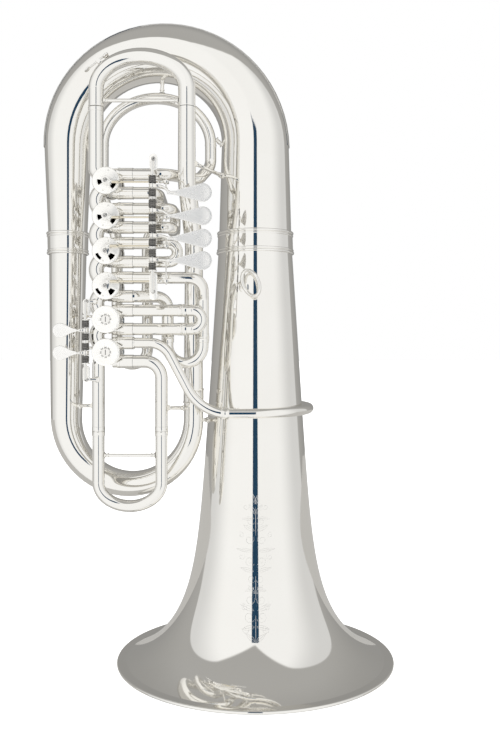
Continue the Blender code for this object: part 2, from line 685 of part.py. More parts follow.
def make_rotor(valve):
    side = linkage_side(valve)
    axis = (0, 1, 0)
    z = VALVE_Z[valve]
    bore = CASING_RADIUS - CASING_WALL
    body = cylinder_mesh((VALVE_X, VALVE_Y, z), axis, bore * math.cos(math.pi / VALVE_SIDES) - GAP,
                         2 * (CASING_HALF - 0.5), VALVE_SIDES)
    shaft_end = CRANK_FACE + CRANK_THICKNESS / 2
    shaft = cylinder_mesh((VALVE_X, VALVE_Y + side * (10 + shaft_end) / 2, z), axis,
                          SHAFT_RADIUS, shaft_end - 10, 8)
    arm_y = CRANK_FACE + CRANK_THICKNESS / 2
    pin = crank_pin(valve, ROD_PLANE)
    arm = rod_mesh(line((VALVE_X, VALVE_Y + side * arm_y, z), crank_pin(valve, arm_y),
                        CRANK_THICKNESS / 2), 6)
    hub = cylinder_mesh((VALVE_X, VALVE_Y + side * arm_y, z), axis, 5.0, CRANK_THICKNESS + 1, 10)
    tip = crank_pin(valve, arm_y)
    eye = cylinder_mesh(tip, axis, 3.0, CRANK_THICKNESS + 0.4, 8)
    stud = cylinder_mesh((tip + pin) / 2 + Vector((0, side * 0.9, 0)), axis, CRANK_PIN_RADIUS,
                         (pin - tip).length + 1.8, 6)
    cuts = [rotor_passage(valve, 1), rotor_passage(valve, -1)]
    obj = carve(f"rotor_{valve}", [body, shaft, arm, hub, eye, stud], cuts)
    return finish(pivot(obj, (VALVE_X, VALVE_Y, z)))


def make_cap(valve):
    """The screwed cap on the open end of a casing, with its slotted centre."""
    inner = (CASING_RADIUS + GAP) / math.cos(math.pi / VALVE_SIDES)
    face = GAP + CAP_FACE
    boss = face + CAP_BOSS
    profile = [(0, boss), (CAP_BOSS_RADIUS, boss), (CAP_BOSS_RADIUS, face), (CAP_RADIUS, face),
               (CAP_RADIUS, face - CAP_HEIGHT), (inner, face - CAP_HEIGHT), (inner, GAP), (0, GAP)]
    obj = turned(f"valve_cap_{valve}", profile, VALVE_SIDES)
    side = -linkage_side(valve)
    obj.location = Vector((VALVE_X, VALVE_Y + side * CASING_HALF, VALVE_Z[valve])) * MM
    obj.rotation_euler.x = math.radians(-90 * side)
    return finish(obj)


def make_valves():
    for valve in AIR_ORDER:
        make_casing(valve)
        make_rotor(valve)
        make_cap(valve)


# Valve slides

def slide_path(ends, crook_centre, side_axis, out_axis, sleeve_ends, radius, sides, steps=5):
    """A U: two legs inside their sleeves, then full-size shoulders and the crook."""
    leg_radius = slide_leg_radius(radius, LOOP_WALL, sides)
    first, second = Vector(ends[0]), Vector(ends[1])
    stop_one, stop_two = Vector(sleeve_ends[0]), Vector(sleeve_ends[1])
    away = Vector(out_axis).normalized()
    slide_radius = radius - SLIDE_SHOULDER
    crook = arc(crook_centre, side_axis, out_axis, 180, 0, slide_radius, None, steps)
    return join(
        line(first, stop_one + away * (GAP + 0.6), leg_radius),
        line(stop_one + away * (GAP + 0.9), crook[0][0], slide_radius),
        crook,
        line(crook[-1][0], stop_two + away * (GAP + 0.9), slide_radius),
        line(stop_two + away * (GAP + 0.6), second, leg_radius))


def make_slide(valve, one, two, out, sleeve_at, crook_at, crook_height, insert, radius):
    """one and two are the points of the two legs at the plane where out is measured from."""
    one, two, out = Vector(one), Vector(two), Vector(out)
    half = (two - one) / 2
    ends = [leg + out * (sleeve_at - insert) for leg in (one, two)]
    stops = [leg + out * sleeve_at for leg in (one, two)]
    centre = (one + two) / 2 + out * crook_at
    way = slide_path(ends, centre, half, out * crook_height, stops, radius, LOOP_SIDES)
    return finish(tube(f"valve_slide_{valve}", way, LOOP_WALL, LOOP_SIDES))


def make_slides():
    y = VALVE_Y
    right, down, back = (1, 0, 0), (0, 0, -1), (0, 1, 0)
    for valve, sleeve_x, crook_x in ((5, SLIDE5_SLEEVE_X, SLIDE5_CROOK_X),
                                     (2, SLIDE2_SLEEVE_X, SLIDE2_CROOK_X)):
        z = VALVE_Z[valve]
        make_slide(valve, (0, y, z + PORT_OFFSET), (0, y, z - PORT_OFFSET), right, sleeve_x,
                   crook_x, PORT_OFFSET, LOOP_INSERT, LOOP_SLEEVE_RADIUS)
    make_slide(6, (SLIDE6_LEFT_X, y, 0), (SLIDE6_RIGHT_X, y, 0), down, -SLIDE6_SLEEVE_Z,
               -SLIDE6_SPRING_Z, SLIDE6_CROOK_HEIGHT, LOOP_INSERT + 20, SLIDE6_RADIUS)
    half = (SLIDE1_RIGHT_X - SLIDE1_LEFT_X) / 2
    make_slide(1, (SLIDE1_LEFT_X, SLIDE1_Y, 0), (SLIDE1_RIGHT_X, SLIDE1_Y, 0), down,
               -SLIDE1_SLEEVE_Z, -SLIDE1_SPRING_Z, half, LOOP_INSERT, LOOP_SLEEVE_RADIUS)
    half = (SLIDE4_RIGHT_X - SLIDE4_LEFT_X) / 2
    make_slide(4, (SLIDE4_LEFT_X, SLIDE4_Y, 0), (SLIDE4_RIGHT_X, SLIDE4_Y, 0), down,
               -SLIDE4_SLEEVE_Z, -SLIDE4_SPRING_Z, half, LOOP_INSERT, LOOP_SLEEVE_RADIUS)
    z = VALVE_Z[3]
    make_slide(3, (SLIDE3_X, 0, z + PORT_OFFSET), (SLIDE3_X, 0, z - PORT_OFFSET), back,
               SLIDE3_SLEEVE_Y, SLIDE3_CROOK_Y, PORT_OFFSET, LOOP_INSERT - 14, LOOP_SLEEVE_RADIUS)


def make_fourth_loop():
    """From valve 4 behind the main slide, over the high arch and down to slide 4."""
    high = VALVE_Z[4] + PORT_OFFSET
    radius = LOOP_SLEEVE_RADIUS
    first, second = ARCH_LEAD
    lead = rounded([((LOOP_START_X + GAP, VALVE_Y, high), 0), ((*first, high), 22),
                    ((*second, high + 2), 22),
                    ((ARCH_X + ARCH_HALF_WIDTH, ARCH_Y, ARCH_FOOT_Z), 22),
                    ((ARCH_X + ARCH_HALF_WIDTH, ARCH_Y, ARCH_SPRING_Z), 0)], radius, 2)
    arch = arc((ARCH_X, ARCH_Y, ARCH_SPRING_Z), (ARCH_HALF_WIDTH, 0, 0), (0, 0, ARCH_HEIGHT),
               0, 180, radius, radius, 7)
    left_x = ARCH_X - ARCH_HALF_WIDTH
    fall_from, fall_to = ARCH_FALL_Z
    fall = rounded([((left_x, ARCH_Y, ARCH_SPRING_Z), 0), ((left_x, ARCH_Y, fall_from), 60),
                    ((SLIDE4_LEFT_X, SLIDE4_Y, fall_to), 60),
                    ((SLIDE4_LEFT_X, SLIDE4_Y, SLIDE4_SLEEVE_Z), 0)], radius, 2)
    finish(tube("fourth_valve_loop", join(lead, arch, fall), LOOP_WALL, LOOP_SIDES))


# Levers, rods and their racks

def rod_height(valve):
    return crank_pin(valve, ROD_PLANE).z


def make_lever(valve, axle, lever_z, post, waypoints, paddle_x, paddle_z, width):
    """A lever on its axle: hub, arm to the post, neck and teardrop paddle."""
    x, y = axle
    hub = cylinder_mesh((x, y, lever_z), (0, 0, 1), LEVER_HUB_RADIUS, 2 * LEVER_HUB_HALF, 10)
    bore = cylinder_mesh((x, y, lever_z), (0, 0, 1), AXLE_RADIUS + 0.45, 20, 8)
    post_x, post_y = x + post[0], y + post[1]
    way = [((x, y, lever_z), 0)]
    way += [((x + across, y + back, lever_z), 3) for across, back in waypoints]
    arm = rod_mesh(rounded(way + [((post_x, post_y, lever_z), 0)], 1.5, 1), 6)
    foot = lever_z - 1.5 if rod_height(valve) > lever_z else lever_z + 1.5
    reach = 5.0 if rod_height(valve) > lever_z else -5.0
    tip = rod_height(valve) + reach
    stud = cylinder_mesh((post_x, post_y, (foot + tip) / 2), (0, 0, 1), POST_RADIUS,
                         abs(tip - foot), 6)
    joint = cylinder_mesh((post_x, post_y, lever_z), (0, 0, 1), 2.4, 3.2, 8)
    near, far = paddle_x
    side = 1 if far > near else -1
    paddle_y = y - 2.0
    neck_end = near + side * abs(far - near) * 0.45
    neck = rod_mesh(rounded([((x, y - 1.0, lever_z), 0),
                             ((x + (near - x) * 0.55, paddle_y + 1, lever_z), 12),
                             ((near, paddle_y, paddle_z), 12),
                             ((neck_end, paddle_y, paddle_z), 0)], 1.6, 1), 6)
    solids = [hub, arm, stud, joint, neck, paddle_mesh(near, far, paddle_y, paddle_z, width)]
    obj = carve(f"paddle_{valve}", solids, [bore])
    return finish(pivot(obj, (x, y, lever_z)), roughness=0.2)


def paddle_mesh(near, far, y, z, width):
    """A teardrop touch plate: a pointed neck widening to a round end."""
    side = 1 if far > near else -1
    radius = width / 2
    centre_x = far - side * radius
    slope = math.asin(radius / abs(centre_x - near))
    outline = [(near, 0.0)]
    sweep = math.pi / 2 + slope
    for i in range(9):
        angle = -sweep + 2 * sweep * i / 8
        outline.append((centre_x + side * radius * math.cos(angle), radius * math.sin(angle)))
    work = bmesh.new()
    front = [work.verts.new(Vector((px, y - PADDLE_THICKNESS / 2, z + pz)) * MM)
             for px, pz in outline]
    face = work.faces.new(front)
    grown = bmesh.ops.extrude_face_region(work, geom=[face])
    moved = [item for item in grown["geom"] if isinstance(item, bmesh.types.BMVert)]
    bmesh.ops.translate(work, verts=moved, vec=(0, PADDLE_THICKNESS * MM, 0))
    bmesh.ops.recalc_face_normals(work, faces=work.faces)
    mesh = bpy.data.meshes.new("paddle")
    work.to_mesh(mesh)
    work.free()
    return mesh


def make_rod(valve, post_x, slot_y, sweep):
    """A link rod: a ring on the crank pin, a shaft, and a slotted block round the post."""
    pin = crank_pin(valve, ROD_PLANE)
    side = 1 if post_x > pin.x else -1
    z = pin.z
    ring_mesh = cylinder_mesh(pin, (0, 1, 0), 3.6, 3.0, 10)
    shaft = rod_mesh(line(pin + Vector((side * 2.8, 0, 0)), (post_x - side * 2.6, pin.y, z),
                          ROD_RADIUS), 6)
    middle_y = (slot_y[0] + slot_y[1]) / 2
    length = abs(slot_y[1] - slot_y[0]) + 2 * (POST_RADIUS + 0.8)
    slot_x = post_x + sweep
    block = box_mesh((slot_x, middle_y, z), (2 * SLOT_HALF + 3.2, length + 3.0, 4.0))
    slot = box_mesh((slot_x, middle_y, z), (2 * SLOT_HALF, length, 8.0))
    hole = cylinder_mesh(pin, (0, 1, 0), CRANK_PIN_RADIUS + 0.45, 6.0, 8)
    obj = carve(f"link_rod_{valve}", [block, shaft, ring_mesh], [slot, hole])
    return finish(pivot(obj, pin))


def make_rack(name, axle, axle_z, feet):
    """The axle of one hand's levers between two brackets with feet to the tubes behind."""
    x, y = axle
    low, high = axle_z
    solids = [cylinder_mesh((x, y, (low + high) / 2), (0, 0, 1), AXLE_RADIUS, high - low, 8)]
    for end, inward, foot in ((low, 1, feet[0]), (high, -1, feet[1])):
        solids.append(box_mesh((x, y, end), (9.0, 7.0, 6.0)))
        solids.append(rod_mesh(rounded([((x, y + 1, end), 0)] + foot, 2.6, 2), 6))
    return finish(carve(name, solids))


def make_levers():
    for valve, lever_z in RIGHT_LEVER_Z.items():
        make_lever(valve, RIGHT_AXLE, lever_z, RIGHT_POST, [], RIGHT_PADDLE_X,
                   lever_z - RIGHT_PADDLE_DROP[valve], RIGHT_PADDLE_WIDTH)
        post_x = RIGHT_AXLE[0] + RIGHT_POST[0]
        post_y = RIGHT_AXLE[1] + RIGHT_POST[1]
        make_rod(valve, post_x, (post_y, post_y + 5.2), -0.3)
    for valve, lever_z in LEFT_LEVER_Z.items():
        make_lever(valve, LEFT_AXLE, lever_z, LEFT_POST, LEFT_ARM,
                   LEFT_PADDLE_X, lever_z, LEFT_PADDLE_WIDTH)
        post_x = LEFT_AXLE[0] + LEFT_POST[0]
        post_y = LEFT_AXLE[1] + LEFT_POST[1]
        make_rod(valve, post_x, (post_y, post_y + 1.0), 0.0)
    x, y = RIGHT_AXLE
    tube_front = VALVE_Y - LOOP_SLEEVE_RADIUS - GAP
    make_rack("right_hand_rack", RIGHT_AXLE, RIGHT_AXLE_Z,
              [[((x, tube_front, VALVE_Z[1] - PORT_OFFSET), 0)],
               [((x, tube_front, VALVE_Z[4] + PORT_OFFSET), 0)]])
    x, y = LEFT_AXLE
    reach = MAIN_RADIUS + GAP
    make_rack("left_hand_rack", LEFT_AXLE, LEFT_AXLE_Z,
              [[((SLIDE6_LEFT_X, y + 1, LEFT_AXLE_Z[0]), 4),
                ((SLIDE6_LEFT_X, VALVE_Y - SLIDE6_RADIUS - GAP, LEFT_AXLE_Z[0]), 0)],
               [((VALVE_X - 17.5, y + 1, LEFT_AXLE_Z[1]), 1.5),
                ((VALVE_X - 17.5, VALVE_Y - reach, LEFT_AXLE_Z[1]), 0)]])
    make_springs()


def make_springs():
    """Each lever's coil spring, as the sleeve that its closed turns make round the axle."""
    inner = (AXLE_RADIUS + 0.35) / math.cos(math.pi / SPRING_SIDES)
    for valve, lever_z, axle in ([(v, z, RIGHT_AXLE) for v, z in RIGHT_LEVER_Z.items()]
                                 + [(v, z, LEFT_AXLE) for v, z in LEFT_LEVER_Z.items()]):
        low = lever_z - LEVER_HUB_HALF - GAP - SPRING_LENGTH
        high = lever_z - LEVER_HUB_HALF - GAP
        profile = [(SPRING_RADIUS, high), (SPRING_RADIUS, low), (inner, low), (inner, high)]
        obj = turned(f"lever_spring_{valve}", profile, SPRING_SIDES)
        obj.location = Vector((axle[0], axle[1], 0)) * MM
        finish(obj, STEEL, 0.35)


# Small pieces

def make_thumb_ring():
    """The oval ring for the thumb, on a foot soldered to the front of the bell."""
    centre = Vector((-7.0, -(bell_radius(THUMB_RING_Z) + 15.0), THUMB_RING_Z))
    long_axis = Vector((-8.0, 2.0, 18.0))
    short_axis = Vector((10.0, -8.0, 5.0))
    loop = arc(centre, long_axis, short_axis, 0, 360, 2.6, 2.6, 14)[:-1]
    oval = rod_mesh(loop, 6, cyclic=True)
    low = centre - short_axis
    foot_radius = 3.0
    seat = bell_radius(low.z - foot_radius) + GAP
    seat_y = -math.sqrt(seat ** 2 - (abs(low.x) - foot_radius) ** 2)
    foot = rod_mesh(line(low, (low.x, seat_y, low.z), foot_radius), 8)
    return finish(carve("thumb_ring", [oval, foot]))


def make_water_key():
    """The water key on the shoulder of the main slide's crook, on two ears."""
    angle = math.radians(WATER_KEY_ANGLE)
    half = (MAIN_RIGHT_X - MAIN_LEFT_X) / 2
    middle = Vector(((MAIN_LEFT_X + MAIN_RIGHT_X) / 2, VALVE_Y, MAIN_CROOK_SPRING_Z))
    spot = middle + Vector((half * math.cos(angle), 0, MAIN_CROOK_HEIGHT * math.sin(angle)))
    outward = Vector((math.cos(angle) / half, 0, math.sin(angle) / MAIN_CROOK_HEIGHT)).normalized()
    along = Vector((outward.z, 0, -outward.x))
    lift = MAIN_RADIUS + GAP
    pad = spot + along * 13 + outward * (lift + 2.6)
    axis = spot + outward * (lift + 4.5)
    touch = spot - along * 20 + outward * (lift + 6.0)
    lever = rod_mesh(rounded([(pad + outward * 1.5, 0), (axis, 12), (touch, 0)], 1.4, 2), 8)
    cork = cylinder_mesh(pad - outward * 0.4, outward, 4.2, 4.4, 12)
    barrel = cylinder_mesh(axis, (0, 1, 0), 2.4, 9.0, 10)
    plate = cylinder_mesh(touch, outward, 5.0, 1.8, 12)
    obj = carve("water_key", [lever, cork, barrel, plate])
    return finish(pivot(obj, axis))


def brace_between(name, start, end, radius=2.2):
    """A stay with a round flange at each end."""
    start, end = Vector(start), Vector(end)
    along = (end - start).normalized()
    stay = rod_mesh(line(start, end, radius), 8)
    flanges = [cylinder_mesh(point + along * 0.9 * sign, along, radius * 2, 1.8, 10)
               for point, sign in ((start, 1), (end, -1))]
    return finish(carve(name, [stay] + flanges))


def make_braces():
    """Stays between neighbouring tubes, seated with a solder gap at both ends."""
    y = VALVE_Y
    brace_between("main_slide_brace",
                  (MAIN_LEFT_X + MAIN_RADIUS + GAP, y, MAIN_BRACE_Z),
                  (MAIN_RIGHT_X - MAIN_RIGHT_RADIUS - GAP, y, MAIN_BRACE_Z))
    brace_between("valve_slide_6_brace",
                  (SLIDE6_LEFT_X + SLIDE6_RADIUS - SLIDE_SHOULDER + GAP, y, SLIDE6_BRACE_Z),
                  (SLIDE6_RIGHT_X - SLIDE6_RADIUS + SLIDE_SHOULDER - GAP, y, SLIDE6_BRACE_Z))


make_body()
make_leadpipe()
make_valves()
make_slides()
make_fourth_loop()
make_levers()
make_thumb_ring()
make_water_key()
make_braces()
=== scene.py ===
"""Looks for the six-valve rotary tuba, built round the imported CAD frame.

Lengths are millimetres, turned into metres by MM. Pieces are laid out from the bell's axis, at
x = 0 and y = 0, with the rim on z = 0; at() moves them into the frame. Y points away from the
valve side, and a way is a list of (point, radius).
"""
import math

import bmesh
import bpy
from mathutils import Matrix, Vector


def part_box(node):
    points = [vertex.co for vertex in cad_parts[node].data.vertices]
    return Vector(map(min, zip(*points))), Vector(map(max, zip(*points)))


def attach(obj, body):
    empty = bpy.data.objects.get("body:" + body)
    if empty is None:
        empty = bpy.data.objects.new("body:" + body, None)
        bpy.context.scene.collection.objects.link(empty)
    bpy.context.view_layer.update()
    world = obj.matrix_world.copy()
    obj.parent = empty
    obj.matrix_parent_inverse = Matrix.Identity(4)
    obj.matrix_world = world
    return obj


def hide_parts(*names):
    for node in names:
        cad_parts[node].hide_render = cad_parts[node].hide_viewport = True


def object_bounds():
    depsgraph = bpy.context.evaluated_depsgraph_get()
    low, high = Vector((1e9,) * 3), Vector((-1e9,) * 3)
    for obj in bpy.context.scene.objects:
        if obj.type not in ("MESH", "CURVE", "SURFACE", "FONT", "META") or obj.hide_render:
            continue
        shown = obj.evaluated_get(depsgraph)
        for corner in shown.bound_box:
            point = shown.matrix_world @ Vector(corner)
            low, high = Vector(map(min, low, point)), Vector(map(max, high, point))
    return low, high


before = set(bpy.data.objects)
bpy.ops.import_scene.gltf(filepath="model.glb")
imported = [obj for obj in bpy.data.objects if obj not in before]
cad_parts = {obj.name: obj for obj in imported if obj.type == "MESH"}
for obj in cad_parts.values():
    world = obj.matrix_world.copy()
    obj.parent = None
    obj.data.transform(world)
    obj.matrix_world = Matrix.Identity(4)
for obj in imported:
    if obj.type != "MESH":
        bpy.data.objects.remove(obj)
CAD_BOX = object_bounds()

MM = 0.001
TURN = 2 * math.pi
BELL_LOW, BELL_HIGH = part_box("bell")
AXIS_PLACE = Vector(((BELL_LOW.x + BELL_HIGH.x) / 2, (BELL_LOW.y + BELL_HIGH.y) / 2, BELL_LOW.z))

# Bell
RIM_RADIUS = (BELL_HIGH.x - BELL_LOW.x) / 2 / MM
THROAT_RADIUS = 55.6
THROAT_Z = 635.0
BELL_TAPER = 0.064           # radius lost for each millimetre of height
BELL_WALL = 1.2
RIM_FLARE = 19.3             # what the last curl adds at the rim
RIM_FLARE_LENGTH = 14.0
BELL_FLARE_LENGTH = 60.0
RIM_BEAD = 2.6               # radius of the roll round the rim's wire
BEAD_INSET = 1.2             # the skin's inside steps back this far behind the roll
BELL_STEPS = 90
BELL_CROWDING = 2.4          # how much closer the bell's steps lie near the rim

# Bottom bow
BOW_SPAN = 287.5
BOW_SPRING_Z = 782.5
BOW_RADII = (28.8, 35.3, 43.0, 51.5, THROAT_RADIUS)
TUBE_WALL = 1.0
FERRULE_HALF = 17.0
FERRULE_BEADS = ((2.0, 1.6, 2.0), (6.0, 1.0, 1.5))   # distance from the end, rise, half width
GUARD_WIDTH = 33.0
GUARD_STEPS = 16

# Outer branch
BRANCH_LEFT_X = -289.8
BRANCH_RIGHT_X = -92.2
BRANCH_RIGHT_Y = -40.0
BRANCH_SPRING_Z = 369.0
BRANCH_JOINT_Z = 404.0
BRANCH_RADII = (28.4, 23.8, 19.2, 14.2)

# Small branch, from the outer branch up to the main slide
KNEE_Z = 480.0
NECK_Z = 630.0
NECK_SHIFT = (1.2, -8.0)
SHOULDER_Z = 712.0

# Valves
VALVE_X = -211.4
VALVE_Y = -85.0
VALVE_Z = {6: 469.0, 5: 515.5, 1: 562.5, 2: 612.0, 3: 661.5, 4: 711.0}
AIR_ORDER = (6, 5, 1, 2, 3, 4)
REAR_LINKAGE = (5, 6)
CASING_RADIUS = 18.0
CASING_HALF = 23.0
PLATE_THICKNESS = 3.0
CAP_RADIUS = 19.5
SHAFT_RADIUS = 3.6
ROTOR_HALF = 22.0
CRANK_RADIUS = 7.0
CRANK_REST_ANGLE = {1: 60.0, 2: 60.0, 3: -30.0, 4: -30.0, 5: 120.0, 6: 120.0}
PORT_OFFSET = 13.4
PORT_BEND = 10.0
PORT_FOOT = 9.5              # how far across and up from its axis a port tube starts
LOOP_START_X = -174.0
LOOP_RADIUS = 8.5
MAIN_RADIUS = 10.75

# Main slide
MAIN_LEFT_X = -229.4
MAIN_RIGHT_X = -98.9
MAIN_RIGHT_RADIUS = 12.35
MAIN_SLEEVE_TOP_Z = 820.5
MAIN_LOW_SEAM_Z = 741.0
MAIN_CROOK_SPRING_Z = 847.0
MAIN_CROOK_HEIGHT = 47.5
INSERT = 34.0                # how far a slide's leg reaches into its sleeve

# Fourth loop, the high arch behind the main slide
ARCH_X = -150.0
ARCH_HALF_WIDTH = 82.0
ARCH_SPRING_Z = 784.0
ARCH_HEIGHT = 71.0
ARCH_Y = -10.0

BEND_STEP = 5.0              # degrees between two stations of a bend
ON_AXIS = 0.05               # radius that stands for a turned solid's own axis


# Ways

def line(start, end, radius, end_radius=None, steps=1):
    """A straight way, its radius changing evenly."""
    end_radius = radius if end_radius is None else end_radius
    start, end = Vector(start), Vector(end)
    return [(start.lerp(end, i / steps), radius + (end_radius - radius) * i / steps)
            for i in range(steps + 1)]


def arc(centre, side, top, start, end, radius, end_radius=None):
    """An elliptical arc: side and top are its half axes, and angles are in degrees."""
    end_radius = radius if end_radius is None else end_radius
    centre, side, top = Vector(centre), Vector(side), Vector(top)
    steps = max(2, round(abs(end - start) / BEND_STEP))
    way = []
    for i in range(steps + 1):
        angle = math.radians(start + (end - start) * i / steps)
        point = centre + side * math.cos(angle) + top * math.sin(angle)
        way.append((point, radius + (end_radius - radius) * i / steps))
    return way


def rounded(corners, radius, end_radius=None):
    """A way through (point, bend radius) corners, each bend an arc in its own plane."""
    points = [Vector(corner[0]) for corner in corners]
    ways = [[(points[0], radius)]]
    for i in range(1, len(points) - 1):
        back = (points[i - 1] - points[i]).normalized()
        ahead = (points[i + 1] - points[i]).normalized()
        turn = math.pi - back.angle(ahead)
        bend = corners[i][1]
        centre = points[i] + (back + ahead).normalized() * bend / math.cos(turn / 2)
        inward = (points[i] - centre).normalized() * bend
        along = (ahead - back).normalized() * bend
        half = math.degrees(turn / 2)
        ways.append(arc(centre, inward, along, -half, half, radius))
    way = join(*ways, [(points[-1], radius)])
    if end_radius is None:
        return way
    return graded(way, radius, end_radius)


def graded(way, start_radius, end_radius):
    """The same way, its radius changing evenly with the distance."""
    lengths = [0.0]
    for (before, _), (after, _) in zip(way, way[1:]):
        lengths.append(lengths[-1] + (after - before).length)
    return [(point, start_radius + (end_radius - start_radius) * length / lengths[-1])
            for (point, _), length in zip(way, lengths)]


def join(*ways):
    """Ways end to end, without doubled points."""
    result = []
    for way in ways:
        for point, radius in way:
            if not result or (point - result[-1][0]).length > 0.01:
                result.append((point, radius))
    return result


# Mesh building

def at(point):
    """A point in the frame, in metres."""
    return Vector(point) * MM + AXIS_PLACE


def loft(work, rings, closed=False, slot=0):
    """Joins rings of points one after the next. An open run gets a cap at each end."""
    loops = [[work.verts.new(at(point)) for point in ring] for ring in rings]
    pairs = list(zip(loops, loops[1:]))
    if closed:
        pairs.append((loops[-1], loops[0]))
    made = []
    for low, high in pairs:
        for j in range(len(low)):
            k = (j + 1) % len(low)
            made.append(work.faces.new((low[j], low[k], high[k], high[j])))
    if not closed:
        made += [work.faces.new(list(reversed(loops[0]))), work.faces.new(loops[-1])]
    for face in made:
        face.material_index = slot


def frames(way):
    """Two cross directions for each point of a way, turned as little as possible."""
    points = [point for point, _ in way]
    last = len(points) - 1
    heads = [(points[min(i + 1, last)] - points[max(i - 1, 0)]).normalized()
             for i in range(last + 1)]
    across = heads[0].orthogonal().normalized()
    result = []
    for i, head in enumerate(heads):
        if i:
            across = heads[i - 1].rotation_difference(head) @ across
        across = (across - head * across.dot(head)).normalized()
        result.append((across, head.cross(across)))
    return result


def circle(point, across, up, radius, sides):
    return [point + (across * math.cos(TURN * j / sides) + up * math.sin(TURN * j / sides)) * radius
            for j in range(sides)]


def tube(work, way, wall=TUBE_WALL, sides=24, slot=0):
    """A hollow tube, open at its ends."""
    crosses = frames(way)
    outer = [circle(point, *cross, radius, sides) for (point, radius), cross in zip(way, crosses)]
    inner = [circle(point, *cross, radius - wall, sides)
             for (point, radius), cross in zip(way, crosses)]
    loft(work, outer + inner[::-1], closed=True, slot=slot)


def rod(work, way, sides=12, slot=0):
    """A solid swept rod with softened ends."""
    crosses = frames(way)
    rings = [circle(point, *cross, radius, sides) for (point, radius), cross in zip(way, crosses)]
    for end, beyond in ((0, 1), (-1, -2)):
        (point, radius), (inside, _) = way[end], way[beyond]
        soft = min(0.25 * radius, 0.4)
        tip = circle(point, *crosses[end], radius - soft, sides)
        back = point + (inside - point).normalized() * soft
        rings[end] = circle(back, *crosses[end], radius, sides)
        if end == 0:
            rings.insert(0, tip)
        else:
            rings.append(tip)
    loft(work, rings, slot=slot)


def ring_loop(work, way, sides=12, slot=0):
    """A closed ring swept along a way that ends where it starts."""
    points = [point for point, _ in way]
    count = len(points)
    middle_point = sum(points, Vector()) / count
    rings = []
    for i, (point, radius) in enumerate(way):
        head = (points[(i + 1) % count] - points[i - 1]).normalized()
        out = point - middle_point
        out = (out - head * out.dot(head)).normalized()
        rings.append(circle(point, out, head.cross(out), radius, sides))
    loft(work, rings, closed=True, slot=slot)


def turned(work, profile, centre=(0, 0, 0), axis=(0, 0, 1), sides=32, slot=0):
    """Turns (radius, height) points round an axis: a profile from axis to axis gives a solid,
    and any other one is closed to a ring."""
    turn = Vector((0, 0, 1)).rotation_difference(Vector(axis)).to_matrix()
    centre = Vector(centre)
    solid = profile[0][0] < 0.1 or profile[-1][0] < 0.1
    rings = []
    for radius, height in profile:
        rings.append([centre + turn @ Vector((radius * math.cos(TURN * j / sides),
                                              radius * math.sin(TURN * j / sides), height))
                      for j in range(sides)])
    loft(work, rings, closed=not solid, slot=slot)


def solid(work, profile, centre, axis, sides, slot=0):
    """Turns a profile whose two ends are closed by flat faces up to the axis."""
    foot, top = (ON_AXIS, profile[0][1]), (ON_AXIS, profile[-1][1])
    turned(work, [foot] + profile + [top], centre, axis, sides, slot)


def ball(work, centre, radius, steps=8, sides=16):
    turned(work, [(max(0.02, radius * math.sin(math.pi * i / steps)),
                   -radius * math.cos(math.pi * i / steps)) for i in range(steps + 1)],
           centre, sides=sides)


def plate(work, outlines, thickness, place, edge=0.25, slot=0):
    """A flat plate from closed outlines in its own plane; inner outlines are cut out."""
    curve = bpy.data.curves.new("plate", "CURVE")
    curve.dimensions = "2D"
    curve.fill_mode = "BOTH"
    curve.extrude = thickness / 2 - edge
    curve.bevel_depth = edge
    curve.bevel_resolution = 1
    curve.offset = -edge
    for outline in outlines:
        spline = curve.splines.new("POLY")
        spline.points.add(len(outline) - 1)
        spline.use_cyclic_u = True
        for target, (x, y) in zip(spline.points, outline):
            target.co = (x, y, 0, 1)
    holder = bpy.data.objects.new("plate", curve)
    mesh = bpy.data.meshes.new_from_object(holder)
    mesh.transform(Matrix.Translation(AXIS_PLACE) @ Matrix.Scale(MM, 4) @ place)
    mesh.polygons.foreach_set("material_index", [slot] * len(mesh.polygons))
    work.from_mesh(mesh)
    bpy.data.objects.remove(holder)
    bpy.data.meshes.remove(mesh)
    bpy.data.curves.remove(curve)


def standing(point, right, up):
    """Places a plate with its x along right and its y along up."""
    right = Vector(right).normalized()
    up = Vector(up).normalized()
    turn = Matrix((right, up, right.cross(up))).transposed()
    return Matrix.Translation(Vector(point)) @ turn.to_4x4()


def round_rectangle(width, height, radius, corner_steps=4):
    """An outline round (0, 0)."""
    outline = []
    for quarter in range(4):
        angle = quarter * math.pi / 2
        sign_x = 1 if quarter in (0, 3) else -1
        sign_y = 1 if quarter < 2 else -1
        centre = (sign_x * (width / 2 - radius), sign_y * (height / 2 - radius))
        for step in range(corner_steps + 1):
            turn = angle + math.pi / 2 * step / corner_steps
            outline.append((centre[0] + radius * math.cos(turn),
                            centre[1] + radius * math.sin(turn)))
    return outline


def block(work, centre, size, right=(1, 0, 0), up=(0, 0, 1), corner=0.8, slot=0):
    """A small block: size is its width along right, its height along up and its depth."""
    width, height, depth = size
    corner = min(corner, width / 2.1, height / 2.1)
    plate(work, [round_rectangle(width, height, corner)], depth, standing(centre, right, up),
          min(0.3, depth / 4), slot)


SHARP_ANGLE = math.radians(34)


def piece(name, work, body, replaces=(), materials=None):
    """Makes an object of the collected faces, which rides on a CAD body."""
    bmesh.ops.remove_doubles(work, verts=work.verts, dist=MM * 0.001)
    bmesh.ops.recalc_face_normals(work, faces=work.faces)
    mesh = bpy.data.meshes.new(name)
    work.to_mesh(mesh)
    work.free()
    for material in materials or (SILVER,):
        mesh.materials.append(material)
    mesh.shade_smooth()
    mesh.set_sharp_from_angle(angle=SHARP_ANGLE)
    obj = bpy.data.objects.new(name, mesh)
    bpy.context.scene.collection.objects.link(obj)
    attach(obj, body)
    if replaces:
        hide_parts(*replaces)
    return obj


# Materials

